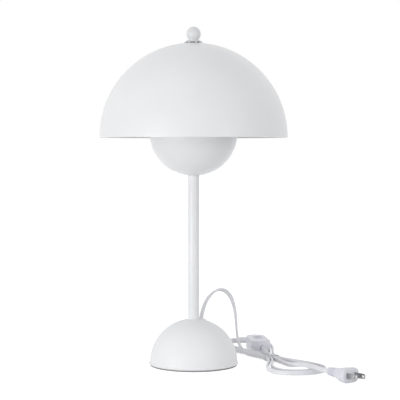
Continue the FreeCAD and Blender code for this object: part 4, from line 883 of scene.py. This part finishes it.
collar = ring_section("shade_seat", STUD + PLAY, COLLAR_FOOT_ROUND, COLLAR_TOP_ROUND, high_steps=3)
finished("stud_collar", turned(collar, 56), "plain_steel", "stand", "shade_seat")
swivel = ring_section("stud_block", 0, SWIVEL_FOOT_ROUND, SWIVEL_TOP_ROUND, high_steps=3)
swivel_top = swivel.pop()[1]
swivel += [(STUD + PLAY, swivel_top), (STUD + PLAY, stud_foot), (0, stud_foot)]
finished("stud_swivel", turned(swivel, 48, closed=False), "plain_steel", "stand", "stud_block")

# %% [markdown]
# ## The lampholder and the bulb
# The lampholder is a moulded cup with ribs for grip, and the bulb screws into it. Both come off the lathe,
# and the bulb's cap gets the same helix as the stud, only coarser. The glass could be one solid ball, but
# that would bend the light as a lens does, so it has a thin wall.

# %% Turn the lampholder
holder_radius, holder_foot, holder_top = reach("socket_body")
HOLDER_NECK, NECK_EDGE = 10.2, 0.8
SHOULDER, SHOULDER_ROUND = 7.6, 1.2
BANDS = (11, 35)
BAND_GROOVE = ((0, 0), (0.5, 0.4), (0.5, 1.2), (0, 1.6))
MOUTH_ROUND, BORE_ROUND = 0.9, 0.4
HOLDER_BORE = 14.6
HOLDER_FLOOR = 9
RIBS = 24
RIB_CUT, RIB_LENGTH, RIB_LEVEL, RIB_OUT = 0.8, 20, 24, 0.45
holder = [(TUBE_HOLE, holder_foot)] + arc(HOLDER_NECK, holder_foot + NECK_EDGE, NECK_EDGE, -90, -30, 3)
holder += arc(holder_radius - SHOULDER_ROUND, holder_foot + SHOULDER, SHOULDER_ROUND, -35, 0, 4)
for band in BANDS:
    holder += [(holder_radius - depth, holder_foot + band + level) for depth, level in BAND_GROOVE]
holder += top_edge(holder_radius, holder_top, MOUTH_ROUND, 5)
holder += arc(HOLDER_BORE + BORE_ROUND, holder_top - BORE_ROUND, BORE_ROUND, 90, 180, 3)
holder += [(HOLDER_BORE, holder_foot + HOLDER_FLOOR), (TUBE_HOLE, holder_foot + HOLDER_FLOOR)]
grip_cuts = bmesh.new()
drill_ring(grip_cuts, RIB_CUT, RIB_LENGTH, holder_radius + RIB_OUT, holder_foot + RIB_LEVEL,
           range(0, 360, 360 // RIBS))
finished("lampholder_cup", carved(turned(holder, 96), grip_cuts), "holder_plastic", "stand", "socket_body")

# %% Turn the bulb's cap
CAP_ROOT = 12.3
CAP_PITCH = 3.63
CAP_EDGE = 0.3
CAP_START, CAP_PLAIN = 0.5, 3
NECK_BORE = 11.65
CONE_FLAT, CONE_TIP, CONE_ROUND = 5.2, 5.6, 0.6
CONE_BAND = 0.5
CONE_PLAY = 0.2
cap_crest, cap_low, cap_high = reach("bulb_cap")
cap_turns = (cap_high - cap_low - CAP_PLAIN) / CAP_PITCH
bulb_cap = turned([
    (NECK_BORE, cap_low), *foot_edge(CAP_ROOT, cap_low, CAP_EDGE, 3), (CAP_ROOT, cap_high - 2 * CAP_EDGE),
    *top_edge(CAP_ROOT, cap_high, CAP_EDGE, 3), (NECK_BORE, cap_high)], 64)
add_thread(bulb_cap, CAP_ROOT, cap_crest, CAP_PITCH, cap_low + CAP_START, cap_turns, share=0.75, steps=48)
finished("bulb_screw_cap", bulb_cap, "cap_metal", "bulb", "bulb_cap", crisp=50)

base_radius, cone_foot, cone_top = reach("bulb_insulator")
cone_radius = base_radius - CONE_PLAY
cone = [(0, cone_foot), (CONE_FLAT, cone_foot)]
cone += arc(CONE_TIP, cone_foot + CONE_ROUND, CONE_ROUND, -90, -20, 3)
cone += [(cone_radius, cone_top - CONE_BAND), (cone_radius, cone_top), (0, cone_top)]
finished("bulb_cone", turned(cone, 56, closed=False), "cap_glass", "bulb", "bulb_insulator")

# %% Blow the glass
GLASS = 0.8
NECK_GLASS = 11.6
NECK_FLARE = 1.5
FLARE_HEIGHT = 2.6
globe_radius, globe_foot, globe_top = reach("bulb_globe")
globe_middle = globe_top - globe_radius
globe_inner = globe_radius - GLASS
shoulder = -degrees(acos((NECK_GLASS + NECK_FLARE) / globe_radius))
shoulder_inside = -degrees(acos((NECK_GLASS + NECK_FLARE - GLASS) / globe_inner))
neck_end = globe_middle + globe_radius * sin(radians(shoulder)) - FLARE_HEIGHT
globe = [(NECK_GLASS, globe_foot), (NECK_GLASS, neck_end)]
globe += arc(0, globe_middle, globe_radius, shoulder, 90, 40)
globe += arc(0, globe_middle, globe_inner, 90, shoulder_inside, 40)
globe += [(NECK_GLASS - GLASS, neck_end), (NECK_GLASS - GLASS, globe_foot)]
finished("bulb_glass", turned(globe, 80), "frosted_glass", "bulb", "bulb_globe", crisp=50)

# %% [markdown]
# ## The switch
# The switch on the cord is a long box with cut corners, moulded in two halves that meet at a fine groove.
# Its top carries an oval ring with the rocker inside. One solid block with a groove around it could pass
# for it, but the gap around the rocker has to look into something dark. So each half is a block of its own,
# with its edges cut and rounded by `bevel`, and is then hollowed out.

# %% The switch's own frame
tip = next(joint for joint in frame["record"]["behaviour"]["joints"] if joint["name"] == "rocker_tip")
SWITCH_LENGTH, SWITCH_WIDTH, SWITCH_HEIGHT = 60, 25, 17
SWITCH_CORNER = 7
SWITCH_WALL = 2
SWITCH_ROUND = 1.6
CORNER_ROUND = 0.9
PARTING = SWITCH_HEIGHT / 2
RIM_GROOVE = 0.35
FLOOR_GAP = 0.2
OVAL_STEPS = 64
switch_turn = Matrix.Rotation(atan2(tip["axis"][1], tip["axis"][0]) + pi / 2, 4, "Z")
switch_place = Matrix.Translation((tip["pos_m"][0], tip["pos_m"][1], FLOOR_GAP * MM)) @ switch_turn
pin_place = Matrix.Translation(tip["pos_m"]) @ switch_turn
print(f"switch middle {[round(side, 4) for side in switch_place.translation]}")


# %% Pick edges of a block
SAME_LEVEL = 0.01 * MM


def level_edges(shape, height):
    """Edges that lie at a height, in millimetres."""
    return [edge for edge in shape.edges
            if all(abs(spot.co.z - height * MM) < SAME_LEVEL for spot in edge.verts)]


def edges_along(shape, axis):
    """Edges that run along an axis by more than a millimetre. The axis is 1 for Y and 2 for Z."""
    return [edge for edge in shape.edges if abs(edge.verts[0].co[axis] - edge.verts[1].co[axis]) > MM]


# %% Long octagons and ovals
def octagon_block(inset, foot, top):
    """The switch's long octagon between two heights, drawn in by a wall, in millimetres."""
    shape = sharp_block(SWITCH_LENGTH - 2 * inset, SWITCH_WIDTH - 2 * inset, top - foot)
    set_down(shape, shift(0, 0, (foot + top) / 2))
    soften(shape, edges_along(shape, 2), SWITCH_CORNER - (2 - sqrt(2)) * inset, 1)
    return shape


def switch_half(foot, top, rim):
    """One half of the switch, whole, with its outer rim rounded and a fine edge at the parting line."""
    shape = octagon_block(0, foot, top)
    soften(shape, edges_along(shape, 2), CORNER_ROUND, 3)
    soften(shape, level_edges(shape, rim), SWITCH_ROUND, 5)
    soften(shape, level_edges(shape, PARTING), RIM_GROOVE, 2)
    return shape


def cord_way(side):
    """A cutter for the cord's way through an end wall of the switch."""
    way = block(3 * SWITCH_WALL, 2 * CORE + 2 * CORD_GAP, CORD_WIDTH + 2 * CORD_GAP, rounding=1)
    return set_down(way, shift(side * SWITCH_LENGTH / 2, 0, PARTING))


def turned_oval(half_section, length, closed=True):
    """A turned shape whose two halves are pulled apart along X, so that its circles become long rounds."""
    shape = turned(half_section, OVAL_STEPS, closed)
    set_down(shape, Matrix.Rotation(pi / OVAL_STEPS, 4, "Z"))
    for side in (1, -1):
        half = [spot for spot in shape.verts if spot.co.x * side > 0]
        bmesh.ops.translate(shape, vec=(side * length / 2 * MM, 0, 0), verts=half)
    return shape


# %% Mould the two halves
OPENING_LENGTH, OPENING_WIDTH = 17.8, 11
CUT_REACH = 4
WELL_PLACES = ((-20, 6), (20, -6))
WELL_RADIUS = 2.45
WELL_DEPTH = 3.6
stretch = OPENING_LENGTH - OPENING_WIDTH
opening = OPENING_WIDTH / 2
cut_foot, cut_top = SWITCH_HEIGHT - CUT_REACH, SWITCH_HEIGHT + CUT_REACH
oval_cut = [(0, cut_foot), (opening, cut_foot), (opening, cut_top), (0, cut_top)]
lid = switch_half(PARTING, SWITCH_HEIGHT, SWITCH_HEIGHT)
lid = carved(lid, octagon_block(SWITCH_WALL, 0, SWITCH_HEIGHT - SWITCH_WALL))
lid = carved(lid, turned_oval(oval_cut, stretch, closed=False))
tray = carved(switch_half(0, PARTING, 0), octagon_block(SWITCH_WALL, SWITCH_WALL, SWITCH_HEIGHT))
for side in (-1, 1):
    lid = carved(lid, cord_way(side))
    tray = carved(tray, cord_way(side))
screw_wells = bmesh.new()
for along, across in WELL_PLACES:
    drill(screw_wells, WELL_RADIUS, WELL_DEPTH, along, across)
tray = set_down(carved(tray, screw_wells), switch_place)
switch_base = finished("switch_tray", tray, "switch_plastic", "stand", "switch_lower_shell")

# %% Add the oval ring
RING_WALL = 1.7
RING_STAND = 1.2
RING_ROOT = 0.5
RING_FOOT_ROUND, RING_ROUND, RING_INNER_ROUND = 0.45, 0.6, 0.5
ring_top = SWITCH_HEIGHT + RING_STAND
ring_outside = opening + RING_WALL
oval_ring = turned_oval([
    (opening, SWITCH_HEIGHT - SWITCH_WALL),
    (ring_outside + RING_ROOT, SWITCH_HEIGHT - SWITCH_WALL / 2),
    *arc(ring_outside + RING_FOOT_ROUND, SWITCH_HEIGHT + RING_FOOT_ROUND, RING_FOOT_ROUND, -90, -180, 3),
    *top_edge(ring_outside, ring_top, RING_ROUND, 4),
    *arc(opening + RING_INNER_ROUND, ring_top - RING_INNER_ROUND, RING_INNER_ROUND, 90, 180, 4)], stretch)
lid = set_down(joined(lid, oval_ring), switch_place)
switch_lid = finished("switch_lid", lid, "switch_plastic", "stand", "switch_upper_shell")

# %% [markdown]
# The rocker is an oval button with a dished top, tipped to its off side. A block with rounded edges could
# be bent into it, but the ends of the oval are half circles, which come clean off the lathe. So it is
# turned upright over the middle of its pin, drawn out to its oval, dished by pressing in the rings of its
# top, tilted and set down.

# %% Turn the rocker
ROCKER_LENGTH, ROCKER_WIDTH = 15, 10
ROCKER_DEPTH = 2.4
ROCKER_STAND = 6
ROCKER_CUT = 0.4
ROCKER_ROUND = 0.8
DISH_RINGS = (0.7, 0.55, 0.4, 0.25, 0)
DISH = 0.8
DISH_RADIUS = 45
DISH_FROM = ROCKER_STAND - 1
ROCKER_TILT = radians(8)
edge = ROCKER_WIDTH / 2
rocker_section = [(0, -ROCKER_DEPTH), (edge - ROCKER_CUT, -ROCKER_DEPTH), (edge, ROCKER_CUT - ROCKER_DEPTH)]
rocker_section += top_edge(edge, ROCKER_STAND, ROCKER_ROUND, 5)
rocker_section += [(edge * share, ROCKER_STAND) for share in DISH_RINGS]
button = turned_oval(rocker_section, ROCKER_LENGTH - ROCKER_WIDTH, closed=False)
for spot in button.verts:
    if spot.co.z > DISH_FROM * MM:
        spot.co.z -= DISH * MM - spot.co.x ** 2 / (2 * DISH_RADIUS * MM)
set_down(button, pin_place @ Matrix.Rotation(ROCKER_TILT, 4, "Y"))
rocker_piece = finished("rocker_button", button, "rocker_plastic", "rocker", "switch_rocker")

# %% [markdown]
# ## The plug
# The plug is moulded onto the cord: a tail with rings that lets the cord bend softly, a body that flares,
# and a flat face with two folded blades. Blocks could be bevelled and joined for it, but the body flares
# without a seam. So one rounded section grows along it, station by station, which is what `swept` does when
# its frames grow. A station is a length along the plug, a width and a height.

# %% The plug's own frame and its section
PLUG_LENGTH = 36
BLADE_REACH = 16
BLADE_ROOT = 7
BLADE_SPACING = 12.7
blade_mount = next(mount for mount in frame["record"]["mounts"] if mount["name"] == "plug_blades")
plug_heading = Vector(blade_mount["axis"])
plug_tail = Vector(blade_mount["pos_m"]) - plug_heading * (PLUG_LENGTH + BLADE_REACH) * MM
plug_turn = Matrix.Rotation(atan2(plug_heading.y, plug_heading.x), 4, "Z")
plug_place = Matrix.Translation(plug_tail) @ plug_turn
blade_middle = PLUG_LENGTH + (BLADE_REACH - BLADE_ROOT) / 2
blade_places = {
    "left": plug_place @ shift(blade_middle, BLADE_SPACING / 2, 0),
    "right": plug_place @ shift(blade_middle, -BLADE_SPACING / 2, 0),
}
FORWARD = Matrix(((0, 0, 1, 0), (1, 0, 0, 0), (0, 1, 0, 0), (0, 0, 0, 1)))
print(f"plug tail {[round(side, 4) for side in plug_tail]}")


def round_box(half_width, half_height, corner, steps=5):
    """A rounded rectangle as a section, from four arcs."""
    outline = []
    for quarter, (across, up) in enumerate(((1, 1), (-1, 1), (-1, -1), (1, -1))):
        outline += arc(across * (half_width - corner), up * (half_height - corner), corner,
                       90 * quarter, 90 * quarter + 90, steps)
    return outline


# %% Mould the plug's body
RELIEF_RINGS = 5
RELIEF_START = 1
RING_STEP = 2.4
RING_CUT = 0.82
RING_PROFILE = ((0, 1), (0.9, 1), (1.15, RING_CUT), (2.1, RING_CUT), (2.35, 1))
TAIL_WIDTH, TAIL_HEIGHT = 8, 9
WIDER, HIGHER = 0.7, 0.4
BODY = [
    (14, 11.9, 11.2), (17, 13.6, 12), (20.5, 16.6, 13.2), (24.5, 20.2, 14.9), (28, 22.2, 15.8),
    (30.6, 22.8, 16), (31.2, 24.6, 16.8), (31.8, 25, 17), (35.2, 25, 17), (35.8, 24.6, 16.6), (36, 24, 16),
]
BLADE_THICK, BLADE_WIDE = 1.5, 6.35
BLADE_GAP = 0.1
UNIT_HALF, UNIT_CORNER = 0.5, 0.3
stations = [(0, 7.2, 8.2), (0.4, TAIL_WIDTH, TAIL_HEIGHT)]
for index in range(RELIEF_RINGS):
    begin = RELIEF_START + RING_STEP * index
    width, height = TAIL_WIDTH + WIDER * index, TAIL_HEIGHT + HIGHER * index
    stations += [(begin + ahead, width * share, height * share) for ahead, share in RING_PROFILE]
plug_frames = [plug_place @ shift(along, 0, 0) @ FORWARD @ Matrix.Diagonal((width, height, 1, 1))
               for along, width, height in stations + BODY]
plug_shape = swept(round_box(UNIT_HALF, UNIT_HALF, UNIT_CORNER), plug_frames)
for place in blade_places.values():
    room = block(BLADE_ROOT + BLADE_REACH, BLADE_THICK + BLADE_GAP, BLADE_WIDE + BLADE_GAP,
                 rounding=0.1, steps=1)
    plug_shape = carved(plug_shape, set_down(room, place))
plug_piece = finished("plug_moulding", plug_shape, "plug_plastic", "stand", "plug_body", crisp=50)

# %% Fold the blades
BLADE_HOLE = 1.6
TIP_CORNER = 1.3
BLADE_EASE = 0.25
SHARP = radians(60)
hole_along = (BLADE_ROOT + BLADE_REACH - BLADE_WIDE) / 2
for label, place in blade_places.items():
    blade = sharp_block(BLADE_ROOT + BLADE_REACH, BLADE_THICK, BLADE_WIDE)
    tip_edges = [edge for edge in edges_along(blade, 1) if all(spot.co.x > 0 for spot in edge.verts)]
    soften(blade, tip_edges, TIP_CORNER, 2)
    soften(blade, [edge for edge in blade.edges if edge.calc_face_angle() > SHARP], BLADE_EASE, 2)
    punch = bmesh.new()
    drill(punch, BLADE_HOLE, 4 * BLADE_THICK)
    set_down(punch, shift(hole_along, 0, 0) @ Matrix.Rotation(pi / 2, 4, "X"))
    blade = set_down(carved(blade, punch), place)
    finished(f"{label}_blade", blade, "blade_metal", "stand", f"plug_blade_{label}")

# %% [markdown]
# ## The tie
# A paper-covered wire is wrapped once round the waist of the hank, and its two ends are twisted together. A
# plain ring could stand for it, but the twist is what makes it a tie. So the band is a thin rounded loop,
# and each end is a small strip swept along a short line while it turns about that line, half a turn apart
# from the other. The two spring apart where the twist stops.

# %% Wrap the tie
TIE_SHEET = 0.5
TIE_LENGTH = 6
TIE_CORNER = 1.7
STRANDS = 5
half_width = ((STRANDS - 1) * PITCH + 2 * CORE + CORD_GAP) / 2
half_height = (CORD_WIDTH + CORD_GAP) / 2
tie_place = shift(*HANK_MIDDLE, STRAND) @ Matrix.Rotation(pi / 2 + HANK_TURN, 4, "Z")


def tie_band(sheet, length):
    """A solid band around the hank, a sheet thicker than the cords and as long as given."""
    ends = [tie_place @ shift(side * length / 2, 0, 0) @ FORWARD for side in (-1, 1)]
    return swept(round_box(half_width + sheet, half_height + sheet, TIE_CORNER + sheet), ends)


tie = carved(tie_band(TIE_SHEET, TIE_LENGTH), tie_band(0, 2 * TIE_LENGTH))
print(f"band: {len(tie.faces)} faces")

# %% Twist its ends
TWIST_TURNS = 2.5
TWIST_STEPS = 48
TWIST_LENGTH = 16
TWIST_REACH, TWIST_LIFT = 0.75, 0.2
TWIST_START, TWIST_SWAY = 3, 2
STRIP = 0.72
STRIP_CORNER = 0.5
SPRING_FROM = 0.85
SPRING = 1.3
twist_height = half_height + TWIST_REACH + STRIP + TWIST_LIFT
for phase in (0, pi):
    strip_frames = []
    for step in range(TWIST_STEPS + 1):
        share = step / TWIST_STEPS
        reach_out = TWIST_REACH + SPRING * max(0, share - SPRING_FROM) / (1 - SPRING_FROM)
        spot = shift(TWIST_LENGTH * share, TWIST_START + TWIST_SWAY * sin(2 * share), twist_height)
        turn = Matrix.Rotation(tau * TWIST_TURNS * share + phase, 4, "Z")
        strip_frames.append(tie_place @ spot @ FORWARD @ turn @ shift(reach_out, 0, 0))
    tie = joined(tie, swept(round_box(STRIP, STRIP, STRIP_CORNER, 3), strip_frames))
tie_piece = finished("hank_tie", tie, "tie_band", "stand", "cord_tie", crisp=50)
